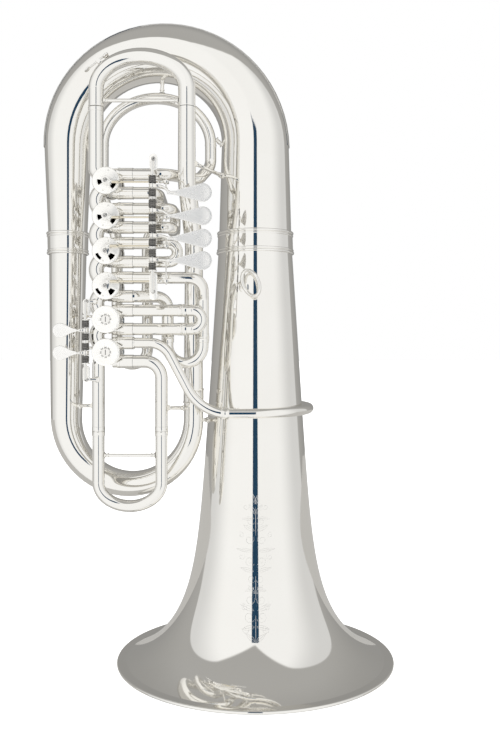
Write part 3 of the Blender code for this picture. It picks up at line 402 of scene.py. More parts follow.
def new_material(name):
    material = bpy.data.materials.new(name)
    material.use_nodes = True
    nodes = material.node_tree.nodes
    return material, nodes, material.node_tree.links, nodes["Principled BSDF"]


def noise(nodes, links, scale, detail=3.0, stretch=(1, 1, 1)):
    """Smooth random values over the object's own metres."""
    place = nodes.new("ShaderNodeTexCoord")
    mapping = nodes.new("ShaderNodeMapping")
    mapping.inputs["Scale"].default_value = stretch
    texture = nodes.new("ShaderNodeTexNoise")
    texture.inputs["Scale"].default_value = scale
    texture.inputs["Detail"].default_value = detail
    links.new(place.outputs["Object"], mapping.inputs["Vector"])
    links.new(mapping.outputs["Vector"], texture.inputs["Vector"])
    return texture.outputs["Fac"]


def spread(nodes, links, value, low, high):
    """Maps values of about 0.3 to 0.7 to a range."""
    ramp = nodes.new("ShaderNodeMapRange")
    ramp.inputs["From Min"].default_value = 0.3
    ramp.inputs["From Max"].default_value = 0.7
    ramp.inputs["To Min"].default_value = low
    ramp.inputs["To Max"].default_value = high
    links.new(value, ramp.inputs["Value"])
    return ramp.outputs["Result"]


def two_colours(nodes, links, value, first, second):
    mix = nodes.new("ShaderNodeMix")
    mix.data_type = "RGBA"
    mix.inputs["A"].default_value = (*first, 1)
    mix.inputs["B"].default_value = (*second, 1)
    links.new(value, mix.inputs["Factor"])
    return mix.outputs["Result"]


def add_bump(nodes, links, shader, height, strength, depth):
    """Roughens the surface with a height that reaches depth, in millimetres."""
    bump = nodes.new("ShaderNodeBump")
    bump.inputs["Strength"].default_value = strength
    bump.inputs["Distance"].default_value = depth * MM
    links.new(height, bump.inputs["Height"])
    links.new(bump.outputs["Normal"], shader.inputs["Normal"])


def metal(name, bright, dull, roughness, grain=0.0, grain_scale=900.0, stretch=(1, 1, 1)):
    """Metal whose tone and gloss drift a little over it, with a fine grain where asked."""
    material, nodes, links, shader = new_material(name)
    shader.inputs["Metallic"].default_value = 1.0
    drift = spread(nodes, links, noise(nodes, links, 14.0), 0.0, 1.0)
    links.new(two_colours(nodes, links, drift, bright, dull), shader.inputs["Base Color"])
    haze = noise(nodes, links, 60.0, 5.0)
    links.new(spread(nodes, links, haze, roughness[0], roughness[1]), shader.inputs["Roughness"])
    if grain:
        height = noise(nodes, links, grain_scale, 2.0, stretch)
        add_bump(nodes, links, shader, height, grain, 0.05)
    return material


def matt(name, first, second, scale, roughness):
    """A dull material with two tones and a faint relief."""
    material, nodes, links, shader = new_material(name)
    value = spread(nodes, links, noise(nodes, links, scale, 6.0), 0.0, 1.0)
    links.new(two_colours(nodes, links, value, first, second), shader.inputs["Base Color"])
    shader.inputs["Roughness"].default_value = roughness
    add_bump(nodes, links, shader, value, 0.4, 0.2)
    return material


# bright tone, dull tone and the range of roughness
SILVER = metal("polished_silver", (0.957, 0.944, 0.910), (0.942, 0.926, 0.888), (0.03, 0.06))
SATIN = metal("satin_silver", (0.95, 0.94, 0.92), (0.93, 0.92, 0.90), (0.24, 0.3), 0.06, 1500.0,
              (1, 1, 0.2))
PLATE = metal("plain_silver_plate", (0.97, 0.96, 0.93), (0.95, 0.935, 0.90), (0.22, 0.28))
# Satin touch plates and plain caps scatter part of the light, as frosted silver does
for dulled, metallic in ((SATIN, 0.72), (PLATE, 0.45)):
    dulled.node_tree.nodes["Principled BSDF"].inputs["Metallic"].default_value = metallic
GILT = metal("pale_gilt_rod", (0.86, 0.80, 0.66), (0.82, 0.75, 0.60), (0.08, 0.14))
STEEL = metal("spring_steel", (0.34, 0.33, 0.315), (0.24, 0.235, 0.225), (0.2, 0.3))
SCREW = metal("steel_screw", (0.62, 0.61, 0.59), (0.52, 0.51, 0.49), (0.14, 0.24))
ENGRAVED = metal("engraved_line", (0.93, 0.92, 0.90), (0.88, 0.87, 0.85), (0.35, 0.45))
CORK = matt("cork", (0.42, 0.27, 0.10), (0.27, 0.16, 0.05), 700.0, 0.85)
BUMPER = matt("black_neoprene", (0.012, 0.012, 0.013), (0.03, 0.03, 0.032), 500.0, 0.6)
# Painted shade: a flat near-black that stands for the shade down in screw slots and inside the
# spring coils
PAINTED_SHADE = matt("shadowed_recess", (0.012, 0.012, 0.013), (0.02, 0.02, 0.022), 300.0, 0.5)


# Studio: a tent of soft white walls with a narrow dark gap where the camera looks in.
# Directions are degrees round from straight ahead and degrees up from level.

WALL_TINT = (1.0, 1.0, 0.995, 1.0)
ROOM_TINT = (1.0, 0.985, 0.955, 1.0)
WALL_MIDDLE = 61.0           # where each wall is tallest
LEFT_TOP = 56.0
RIGHT_TOP = 62.5
LEFT_REACH = (105.0, 46.0)   # from its middle to the wall's end, toward the front and the back
RIGHT_REACH = (92.0, 60.0)
LEFT_LEVEL = 0.96
RIGHT_LEVEL = 0.93
WALL_SOFTNESS = 1.5
WALL_FALL = (50.0, 100.0, 0.72)      # a wall dims to this share between these two angles
BACK = (105.0, 170.0, 0.40, 0.30)    # the room behind: two angles and the levels there
OVERHEAD = (30.0, 85.0, 0.41)        # the roof: two heights and the level it ends on
FLOOR_DROP = 0.0006                  # metres from the rim down to the paper
FLOOR_HALF = 30.0
PATCH_HALF = 3.0
PATCH_FRONT = -0.15
STRIP_HALF = 125.0                   # the dark gap between the two front walls
STRIP_TOP = 1250.0
STRIP_AWAY = 1345.0


class Sky:
    """Small sums over the direction of a ray, for the world's shader."""

    def __init__(self, tree):
        self.nodes, self.links = tree.nodes, tree.links

    def math(self, operation, *values):
        node = self.nodes.new("ShaderNodeMath")
        node.operation = operation
        for socket, value in zip(node.inputs, values):
            if isinstance(value, (int, float)):
                socket.default_value = value
            else:
                self.links.new(value, socket)
        return node.outputs[0]

    def step(self, value, low, high, start=0.0, end=1.0):
        """Eases from start to end as the value goes from low to high."""
        node = self.nodes.new("ShaderNodeMapRange")
        node.interpolation_type = "SMOOTHSTEP"
        for name, number in (("From Min", low), ("From Max", high), ("To Min", start),
                             ("To Max", end)):
            node.inputs[name].default_value = number
        self.links.new(value, node.inputs["Value"])
        return node.outputs["Result"]

    def blend(self, factor, first, second):
        """first where the factor is 0, second where it is 1."""
        return self.math("ADD", self.math("MULTIPLY", self.math("SUBTRACT", 1.0, factor), first),
                         self.math("MULTIPLY", factor, second))


def studio_world():
    """The tent as the metal sees it, and plain white where the camera looks past."""
    world = bpy.data.worlds.new("tent")
    bpy.context.scene.world = world
    world.use_nodes = True
    tree = world.node_tree
    tree.nodes.clear()
    sky = Sky(tree)
    place = tree.nodes.new("ShaderNodeTexCoord")
    split = tree.nodes.new("ShaderNodeSeparateXYZ")
    tree.links.new(place.outputs["Generated"], split.inputs[0])
    x, y, z = split.outputs
    azimuth = sky.math("DEGREES", sky.math("ARCTAN2", x, sky.math("MULTIPLY", y, -1.0)))
    height = sky.math("DEGREES", sky.math("ARCSINE", z))
    side = sky.math("ABSOLUTE", azimuth)
    right = sky.step(azimuth, -4.0, 4.0)
    from_middle = sky.math("SUBTRACT", side, WALL_MIDDLE)
    outside = sky.step(from_middle, -0.5, 0.5)
    half = sky.blend(outside, sky.blend(right, LEFT_REACH[0], RIGHT_REACH[0]),
                     sky.blend(right, LEFT_REACH[1], RIGHT_REACH[1]))
    share = sky.math("DIVIDE", from_middle, half)
    arch = sky.math("SUBTRACT", 1.0, sky.math("MULTIPLY", share, share))
    wall_top = sky.math("MULTIPLY", sky.math("SQRT", sky.math("MAXIMUM", arch, 0.0)),
                        sky.blend(right, LEFT_TOP, RIGHT_TOP))
    above = sky.math("SUBTRACT", height, wall_top)
    below_top = sky.step(above, -WALL_SOFTNESS, WALL_SOFTNESS, 1.0, 0.0)
    wall = sky.math("MULTIPLY", below_top, sky.step(arch, -0.1, 0.1))
    fall = sky.step(side, WALL_FALL[0], WALL_FALL[1], 1.0, WALL_FALL[2])
    wall_level = sky.math("MULTIPLY", fall, sky.blend(right, LEFT_LEVEL, RIGHT_LEVEL))
    over = sky.step(height, OVERHEAD[0], OVERHEAD[1])
    surround = sky.blend(over, sky.step(side, *BACK), OVERHEAD[2])
    level = sky.blend(wall, surround, wall_level)
    tent = tree.nodes.new("ShaderNodeBackground")
    tint = tree.nodes.new("ShaderNodeMix")
    tint.data_type = "RGBA"
    tint.inputs["A"].default_value = ROOM_TINT
    tint.inputs["B"].default_value = WALL_TINT
    tree.links.new(wall, tint.inputs["Factor"])
    tree.links.new(tint.outputs["Result"], tent.inputs["Color"])
    tree.links.new(level, tent.inputs["Strength"])
    plain = tree.nodes.new("ShaderNodeBackground")
    plain.inputs["Color"].default_value = (1, 1, 1, 1)
    plain.inputs["Strength"].default_value = 1.0
    seen = tree.nodes.new("ShaderNodeLightPath")
    choose = tree.nodes.new("ShaderNodeMixShader")
    tree.links.new(seen.outputs["Is Camera Ray"], choose.inputs[0])
    tree.links.new(tent.outputs[0], choose.inputs[1])
    tree.links.new(plain.outputs[0], choose.inputs[2])
    out = tree.nodes.new("ShaderNodeOutputWorld")
    tree.links.new(choose.outputs[0], out.inputs["Surface"])


def stage_sheet(name, corners, colour, glow):
    """A flat matt sheet of the studio, which also glows evenly."""
    work = bmesh.new()
    work.faces.new([work.verts.new(corner) for corner in corners])
    mesh = bpy.data.meshes.new(name)
    work.to_mesh(mesh)
    work.free()
    material, nodes, links, shader = new_material(name)
    shade = spread(nodes, links, noise(nodes, links, 3.0), 0.0, 1.0)
    links.new(two_colours(nodes, links, shade, colour, [part * 0.96 for part in colour]),
              shader.inputs["Base Color"])
    shader.inputs["Roughness"].default_value = 0.9
    shader.inputs["Specular IOR Level"].default_value = 0.0
    shader.inputs["Emission Color"].default_value = (*colour, 1)
    shader.inputs["Emission Strength"].default_value = glow
    mesh.materials.append(material)
    sheet = bpy.data.objects.new(name, mesh)
    bpy.context.scene.collection.objects.link(sheet)
    return sheet


def only_reflected(sheet):
    """Leaves a sheet to the polish of the metal alone."""
    sheet.visible_camera = False
    sheet.visible_diffuse = False
    sheet.visible_shadow = False


def flat_corners(half, front, height):
    return [(x, y, height) for x, y in ((-half, front), (half, front), (half, half), (-half, half))]


def studio_floor():
    """White paper, of which the metal only catches the grey patch round the instrument."""
    ground = CAD_BOX[0].z - FLOOR_DROP
    paper = stage_sheet("floor", flat_corners(FLOOR_HALF, -FLOOR_HALF, ground),
                        (0.95, 0.95, 0.95), 1.0)
    paper.visible_glossy = False
    patch = stage_sheet("floor_patch",
                        flat_corners(PATCH_HALF, PATCH_FRONT, ground + FLOOR_DROP / 2),
                        (0.36, 0.355, 0.345), 0.9)
    patch.data.materials[0].node_tree.nodes["Principled BSDF"].inputs["Roughness"].default_value = 1
    only_reflected(patch)


def studio_gap():
    """The dark slit between the two front walls, seen only as a line in the polish."""
    corners = [at((CAMERA_X + x, -STRIP_AWAY, z))
               for x, z in ((-STRIP_HALF, 0), (STRIP_HALF, 0), (STRIP_HALF, STRIP_TOP),
                            (-STRIP_HALF, STRIP_TOP))]
    slit = stage_sheet("tent_slit", corners, (0.010, 0.030, 0.058), 0.9)
    only_reflected(slit)


# Camera: level with the middle of the instrument

CAMERA_AWAY = 1325.0
CAMERA_HEIGHT = 475.0
CAMERA_X = -8.1
SENSOR = 36.0                # height of the sensor, in millimetres
LENS = 41.424                # focal length, in millimetres
LENS_SHIFT = -0.036          # looks a little below level without tilting the camera


def studio_camera():
    camera = bpy.data.cameras.new("camera")
    camera.sensor_width = SENSOR
    camera.lens = LENS
    camera.shift_y = LENS_SHIFT
    camera.clip_start = 0.01
    camera.clip_end = 100.0
    obj = bpy.data.objects.new("camera", camera)
    bpy.context.scene.collection.objects.link(obj)
    obj.location = at((CAMERA_X, -CAMERA_AWAY, CAMERA_HEIGHT))
    obj.rotation_euler = (math.pi / 2, 0, 0)
    bpy.context.scene.camera = obj


studio_world()
studio_floor()
studio_gap()
studio_camera()
bpy.context.scene.view_settings.view_transform = "Standard"


# Body

def bell_radius(height):
    """The bell's outside: a slim cone, a wide flare and the last curl at the rim."""
    below = THROAT_Z - height
    return (THROAT_RADIUS + BELL_TAPER * below
            + (RIM_RADIUS - THROAT_RADIUS - BELL_TAPER * THROAT_Z - RIM_FLARE)
            * math.exp(-height / BELL_FLARE_LENGTH)
            + RIM_FLARE * math.exp(-height / RIM_FLARE_LENGTH))


def make_bell():
    """The bell's skin, rolled over a wire at the rim."""
    low = 2 * RIM_BEAD
    heights = [low + (THROAT_Z - low) * (i / BELL_STEPS) ** BELL_CROWDING
               for i in range(BELL_STEPS + 1)]
    edge = RIM_RADIUS - RIM_BEAD
    outer = [(min(bell_radius(z), edge - 0.2 * (z < low + 1)), z) for z in reversed(heights)]
    inner = [(min(bell_radius(z), edge) - BELL_WALL - BEAD_INSET * (z < low + 1), z)
             for z in heights]
    turns = [math.radians(angle) for angle in range(0, 271, 18)]
    bead = [(edge + RIM_BEAD * math.sin(turn), RIM_BEAD + RIM_BEAD * math.cos(turn))
            for turn in turns]
    work = bmesh.new()
    turned(work, outer + bead + inner, sides=144)
    piece("bell_skin", work, "instrument", ["bell"])


def ferrule(work, centre_x, low_radius, high_radius, low, high):
    """A sleeve over a joint, with a raised double bead at each end."""
    def radius(z):
        return low_radius + (high_radius - low_radius) * (z - low) / (high - low) + 0.4
    profile = []
    for foot, sign in ((low, 1), (high, -1)):
        beads = []
        for middle_z, rise, half in FERRULE_BEADS:
            for step in range(7):
                angle = math.pi * step / 6
                beads.append((foot + sign * (middle_z - half * math.cos(angle)),
                              1.0 + rise * math.sin(angle)))
        if sign < 0:
            beads.reverse()
        profile += [(radius(z) + rise, z) for z, rise in beads]
    back = [(radius(high) - 0.3, high), (radius(low) - 0.3, low)]
    turned(work, profile + back, (centre_x, 0, 0), sides=96)


def make_ferrules():
    low, high = THROAT_Z - FERRULE_HALF, THROAT_Z + FERRULE_HALF
    work = bmesh.new()
    ferrule(work, 0, bell_radius(low), THROAT_RADIUS, low, high)
    piece("bell_ferrule_sleeve", work, "instrument", ["bell_ferrule"])
    work = bmesh.new()
    ferrule(work, -BOW_SPAN, BOW_RADII[0], BOW_RADII[0] + 0.8, low, high)
    piece("bow_ferrule_sleeve", work, "instrument", ["bow_ferrule"])


def bow_path():
    """Down the outer leg's sleeve, over the bow and down to the bell's throat."""
    radii = BOW_RADII
    centre = (-BOW_SPAN / 2, 0, BOW_SPRING_Z)
    side, top = (BOW_SPAN / 2, 0, 0), (0, 0, BOW_SPAN / 2)
    return join(
        line((-BOW_SPAN, 0, THROAT_Z), (-BOW_SPAN, 0, BOW_SPRING_Z), radii[0], radii[1], 12),
        arc(centre, side, top, 180, 90, radii[1], radii[2]),
        arc(centre, side, top, 90, 0, radii[2], radii[3]),
        line((0, 0, BOW_SPRING_Z), (0, 0, THROAT_Z), radii[3], radii[4], 12))


def smooth_radii(way, rounds=8):
    """Evens out kinks in how a way's radius changes."""
    radii = [radius for _, radius in way]
    for _ in range(rounds):
        radii = [radii[0]] + [(radii[i - 1] + 2 * radii[i] + radii[i + 1]) / 4
                              for i in range(1, len(radii) - 1)] + [radii[-1]]
    return [(point, radius) for (point, _), radius in zip(way, radii)]


def make_bow():
    work = bmesh.new()
    tube(work, smooth_radii(bow_path()), sides=72)
    piece("bottom_bow_tube", work, "instrument", ["bottom_bow"])


def make_guard():
    """The strip along the outside of the bow, its edges rounded down onto the tube."""
    centre = Vector((-BOW_SPAN / 2, 0, BOW_SPRING_Z))
    rings = []
    for point, radius in smooth_radii(bow_path()):
        if point.z < BOW_SPRING_Z - 1:
            continue
        out = (point - centre).normalized()
        top, low = [], []
        for j in range(GUARD_STEPS + 1):
            share = 2 * j / GUARD_STEPS - 1
            turn = share * GUARD_WIDTH / 2 / radius
            rise = 0.5 + 0.8 * (1 - abs(share) ** 6)
            spoke = out * math.cos(turn) + Vector((0, math.sin(turn), 0))
            top.append(point + spoke * (radius + rise))
            low.append(point + spoke * (radius + 0.15))
        rings.append(top + low[::-1])
    work = bmesh.new()
    loft(work, rings)
    piece("bow_guard_strip", work, "instrument", ["bow_guard"])


def top_bow_path():
    """The outer branch, its U beside the bell and the short leg forward of it."""
    half = (BRANCH_RIGHT_X - BRANCH_LEFT_X) / 2
    centre = (BRANCH_LEFT_X + half, BRANCH_RIGHT_Y / 2, BRANCH_SPRING_Z)
    side, down = (half, BRANCH_RIGHT_Y / 2, 0), (0, 0, half)
    radii = BRANCH_RADII
    return join(
        line((-BOW_SPAN, 0, THROAT_Z), (BRANCH_LEFT_X, 0, BRANCH_SPRING_Z), radii[0], radii[1], 20),
        arc(centre, side, down, 180, 270, radii[1], radii[2]),
        arc(centre, side, down, 270, 360, radii[2], radii[3]),
        line((BRANCH_RIGHT_X, BRANCH_RIGHT_Y, BRANCH_SPRING_Z),
             (BRANCH_RIGHT_X, BRANCH_RIGHT_Y, BRANCH_JOINT_Z), radii[3]))


def sleeve(work, point, along, radius, length=24.0, sides=32):
    """A ferrule over a joint of two smaller tubes, with a bead at each end."""
    half = length / 2
    profile = [(radius + 0.9, -half), (radius + 1.5, 1.2 - half), (radius + 0.9, 2.4 - half),
               (radius + 0.6, 3.0 - half), (radius + 0.6, half - 3.0), (radius + 0.9, half - 2.4),
               (radius + 1.5, half - 1.2), (radius + 0.9, half), (radius - 0.2, half),
               (radius - 0.2, -half)]
    turned(work, profile, point, along, sides)


def make_branches():
    work = bmesh.new()
    tube(work, smooth_radii(top_bow_path()), sides=56)
    piece("top_bow_tube", work, "instrument", ["top_bow"])
    low = (BRANCH_RIGHT_X, BRANCH_RIGHT_Y, BRANCH_JOINT_Z)
    knee = (BRANCH_RIGHT_X, BRANCH_RIGHT_Y, KNEE_Z)
    neck = (BRANCH_RIGHT_X + NECK_SHIFT[0], BRANCH_RIGHT_Y + NECK_SHIFT[1], NECK_Z)
    shoulder = (MAIN_RIGHT_X, VALVE_Y, SHOULDER_Z)
    top = (MAIN_RIGHT_X, VALVE_Y, MAIN_SLEEVE_TOP_Z)
    way = rounded([(low, 0), (knee, 90), (neck, 60), (shoulder, 50), (top, 0)], BRANCH_RADII[3])
    work = bmesh.new()
    tube(work, graded(way, BRANCH_RADII[3], MAIN_RIGHT_RADIUS), sides=36)
    sleeve(work, Vector(low), (0, 0, 1), BRANCH_RADII[3] + 0.2, 22)
    seam(work, Vector((MAIN_RIGHT_X, VALVE_Y, MAIN_LOW_SEAM_Z)), (0, 0, 1), MAIN_RIGHT_RADIUS)
    piece("small_branch_tube", work, "instrument", ["small_branch"])


def sleeve_end(work, point, inward, radius, sides=32):
    """The bead on the open end of an outer slide tube, and the knurl line behind it."""
    profile = [(radius - 0.3, 0), (radius + 0.5, 0.1), (radius + 0.9, 0.8), (radius + 0.5, 1.6),
               (radius + 0.35, 6.0), (radius - 0.3, 6.4)]
    turned(work, profile, point, inward, sides)


# Leadpipe

LEADPIPE_RADIUS = 7.25
LEADPIPE_Z = 380.5
LEADPIPE_RING = 82.0
LEADPIPE_RISE = 6.0
LEADPIPE_DROP = (-132.4, 34.0)       # where it turns down, and its bend
LEADPIPE_SWEEP = (-78.6, 66.0)
LEADPIPE_JOINT_X = -44.0
LEADPIPE_END_X = -20.0
RECEIVER_LENGTH = 38.0
RECEIVER_RADIUS = 9.5


def leadpipe_path():
    """From valve 6 down beside the levers, then round the bell to the far side."""
    port_z = VALVE_Z[6] + PORT_OFFSET
    drop_x, drop_bend = LEADPIPE_DROP
    sweep_x, sweep_bend = LEADPIPE_SWEEP
    way = rounded([((LOOP_START_X, VALVE_Y, port_z), 0), ((drop_x, VALVE_Y, port_z), drop_bend),
                   ((sweep_x, VALVE_Y, LEADPIPE_Z), sweep_bend),
                   ((0, -LEADPIPE_RING, LEADPIPE_Z), 0)], LEADPIPE_RADIUS)
    wrap = arc((0, 0, LEADPIPE_Z), (LEADPIPE_RING, 0, 0), (0, LEADPIPE_RING, 0), -90, 90,
               LEADPIPE_RADIUS)
    last = len(wrap) - 1
    wrap = [(point + Vector((0, 0, LEADPIPE_RISE * i / last)), radius)
            for i, (point, radius) in enumerate(wrap)]
    end = (LEADPIPE_END_X, LEADPIPE_RING, LEADPIPE_Z + LEADPIPE_RISE)
    return join(way, wrap, [(Vector(end), LEADPIPE_RADIUS)])


def make_leadpipe():
    work = bmesh.new()
    tube(work, leadpipe_path(), sides=32)
    joint = (LEADPIPE_JOINT_X, VALVE_Y + 0.9, LEADPIPE_Z)
    sleeve(work, Vector(joint), (1, 0.03, 0), LEADPIPE_RADIUS, 12)
    piece("leadpipe_tube", work, "instrument", ["leadpipe"])
    start = Vector((LEADPIPE_END_X, LEADPIPE_RING, LEADPIPE_Z + LEADPIPE_RISE))
    near = LEADPIPE_RADIUS + 0.6
    slope = (RECEIVER_RADIUS - near) / RECEIVER_LENGTH
    outer = [(near - 0.4, 0.3), (near + 0.8, 0.6), (near + 1.2, 1.8), (near + 0.8, 3.0),
             (near + 0.1, 3.6), (near + slope * 30 - 0.3, 30), (RECEIVER_RADIUS - 0.6, 31),
             (RECEIVER_RADIUS, 33), (RECEIVER_RADIUS, 37.5),
             (RECEIVER_RADIUS - 0.6, RECEIVER_LENGTH + 0.3)]
    inner = [(LEADPIPE_RADIUS - 0.4, RECEIVER_LENGTH + 0.3), (LEADPIPE_RADIUS - 1.4, 0.3)]
    work = bmesh.new()
    turned(work, outer + inner, start, (-1, 0, 0), 40)
    piece("receiver_cup", work, "instrument", ["mouthpiece_receiver"])


# Valves

def valve_point(valve, across, up):
    return (VALVE_X + across, VALVE_Y, VALVE_Z[valve] + up)


def linkage_side(valve):
    """-1 where the crank is at the front, +1 where it is at the back."""
    return 1 if valve in REAR_LINKAGE else -1


KNUCKLE_REACH = 12.0         # where a port's knuckle leaves the casing
BULLET_START = 5.6           # the collar of a loop's port, from the valve's axis
BULLET_END = 16.7
SLEEVE_END = 35.5
PORT_SEAMS = (16.9, 35.4)
CRANK_FACE = CASING_HALF + PLATE_THICKNESS + 0.8
CRANK_THICKNESS = 3.0
ROD_PLANE = CRANK_FACE + CRANK_THICKNESS + 2.4
CRANK_PIN_RADIUS = 1.5

SLIDE6_LEFT_X = -225.8
SLIDE6_RIGHT_X = -135.3
SLIDE6_RADIUS = 9.15
SLIDE6_SLEEVE_Z = 356.0
SLIDE6_SPRING_Z = 282.0
SLIDE6_CROOK_HEIGHT = 34.0
SLIDE1_LEFT_X = -128.1
SLIDE1_RIGHT_X = -76.7
SLIDE1_Y = -66.0
SLIDE1_SLEEVE_Z = 490.0
SLIDE1_SPRING_Z = 478.7
SLIDE2_SLEEVE_X = -150.0
SLIDE2_CROOK_X = -125.8
SLIDE3_X = -121.0
SLIDE3_SLEEVE_Y = -45.0
SLIDE3_CROOK_Y = -36.0
SLIDE4_TURN_X = -140.0
SLIDE4_LEFT_X = -210.0
SLIDE4_RIGHT_X = -163.7
SLIDE4_Y = -15.0
SLIDE4_SLEEVE_Z = 560.0
SLIDE4_SPRING_Z = 473.0
SLIDE5_SLEEVE_X = -106.0
SLIDE5_CROOK_X = -91.0
SLIDE6_BRACE_Z = 321.0
MAIN_BRACE_Z = 830.6


def port_path(valve, side, up, corners, radius):
    """A tube that leaves a rotor on the diagonal, then follows the given corners."""
    offset = abs(corners[0][0][2] - VALVE_Z[valve]) if side > 0 else abs(corners[0][0][0] - VALVE_X)
    start = valve_point(valve, side * 7, up * 7)
    knuckle = valve_point(valve, side * offset, up * offset)
    return rounded([(start, 0), (knuckle, PORT_BEND)] + corners, radius)


def loop_corners(valve):
    """(side, up, corners, radius) for each tube soldered to a valve, except the links."""
    low = VALVE_Z[valve] - PORT_OFFSET
    high = VALVE_Z[valve] + PORT_OFFSET
    y = VALVE_Y
    if valve == 6:
        return [(1, 1, [((LOOP_START_X, y, high), 0)], LOOP_RADIUS),
                (1, -1, [((SLIDE6_RIGHT_X, y, low), 24),
                         ((SLIDE6_RIGHT_X, y, SLIDE6_SLEEVE_Z), 0)], SLIDE6_RADIUS),
                (-1, -1, [((SLIDE6_LEFT_X, y, SLIDE6_SLEEVE_Z), 0)], SLIDE6_RADIUS)]
    if valve in (5, 2):
        end = SLIDE5_SLEEVE_X if valve == 5 else SLIDE2_SLEEVE_X
        return [(1, up, [((end, y, VALVE_Z[valve] + up * PORT_OFFSET), 0)], LOOP_RADIUS)
                for up in (1, -1)]
    if valve == 1:
        return [(1, 1, [((LOOP_START_X, y, high), 60), ((SLIDE1_RIGHT_X, y + 2, high), 20),
                        ((SLIDE1_RIGHT_X, SLIDE1_Y, high - 29), 20),
                        ((SLIDE1_RIGHT_X, SLIDE1_Y, SLIDE1_SLEEVE_Z), 0)], LOOP_RADIUS),
                (1, -1, [((LOOP_START_X, y, low), 30), ((SLIDE1_LEFT_X, SLIDE1_Y, low), 17),
                         ((SLIDE1_LEFT_X, SLIDE1_Y, SLIDE1_SLEEVE_Z), 0)], LOOP_RADIUS)]
    if valve == 3:
        return [(1, up, [((SLIDE3_X, y, VALVE_Z[3] + up * PORT_OFFSET), 14),
                         ((SLIDE3_X, SLIDE3_SLEEVE_Y, VALVE_Z[3] + up * PORT_OFFSET), 0)],
                 LOOP_RADIUS) for up in (1, -1)]
    return [(1, 1, [((LOOP_START_X, y, high), 0)], LOOP_RADIUS),
            (1, -1, [((SLIDE4_TURN_X, y, low), 16), ((SLIDE4_TURN_X, SLIDE4_Y, low - 8), 16),
                     ((SLIDE4_RIGHT_X, SLIDE4_Y, low - 60), 24),
                     ((SLIDE4_RIGHT_X, SLIDE4_Y, SLIDE4_SLEEVE_Z), 0)], LOOP_RADIUS),
            (-1, 1, [((MAIN_LEFT_X, y, MAIN_SLEEVE_TOP_Z), 0)], MAIN_RADIUS)]


def knuckle(work, valve, side, up, radius):
    """The pointed collar that a port tube is soldered into, on the casing's shoulder."""
    along = Vector((side, 0, up)).normalized()
    start = Vector(valve_point(valve, 0, 0)) + along * KNUCKLE_REACH
    profile = [(radius - 0.2, 0), (radius + 1.4, 0), (radius + 1.4, 4.0), (radius + 1.0, 5.0),
               (radius + 0.2, 5.6), (radius - 0.2, 5.6)]
    turned(work, profile, start, along, 32)


def bullet(work, valve, up, radius):
    """The pointed collar of a loop's port, with the sleeve and thin seams behind it."""
    start = Vector(valve_point(valve, BULLET_START, up * PORT_OFFSET))
    length = BULLET_END - BULLET_START
    nose = [((radius + 0.9) * math.sin(math.pi / 2 * min(1.0, i / 9) ** 0.75), length * i / 10)
            for i in range(1, 11)]
    end = SLEEVE_END - BULLET_START
    profile = ([(ON_AXIS, 0)] + nose + [(radius + 0.9, length + 0.2), (radius + 0.55, length + 0.5),
               (radius + 0.55, end - 0.3), (radius + 0.2, end), (radius - 0.2, end),
               (radius - 0.2, 0.6), (ON_AXIS, 0.5)])
    turned(work, profile, start, (1, 0, 0), 40)
    for across in PORT_SEAMS:
        ring = radius + (0.75 if across < SLEEVE_END else 0.35)
        turned(work, [(radius - 0.2, -0.3), (ring, -0.3), (ring, 0.3), (radius - 0.2, 0.3)],
               Vector(valve_point(valve, across, up * PORT_OFFSET)), (1, 0, 0), 32, 1)


def seam(work, point, along, radius):
    """The thin ring of a butted joint."""
    turned(work, [(radius - 0.3, -0.8), (radius + 0.35, -0.8), (radius + 0.5, 0),
                  (radius + 0.35, 0.8), (radius - 0.3, 0.8)], point, along, 32)


def kidney(radius, half_width, start, end, steps=8):
    """A bean-shaped outline along part of a ring."""
    outline = []
    for sign, first, last in ((1, start, end), (-1, end, start)):
        for i in range(steps + 1):
            angle = math.radians(first + (last - first) * i / steps)
            reach = radius + sign * half_width
            outline.append((reach * math.cos(angle), reach * math.sin(angle)))
    return outline


def round_outline(radius, sides=48):
    return [(radius * math.cos(TURN * i / sides), radius * math.sin(TURN * i / sides))
            for i in range(sides)]


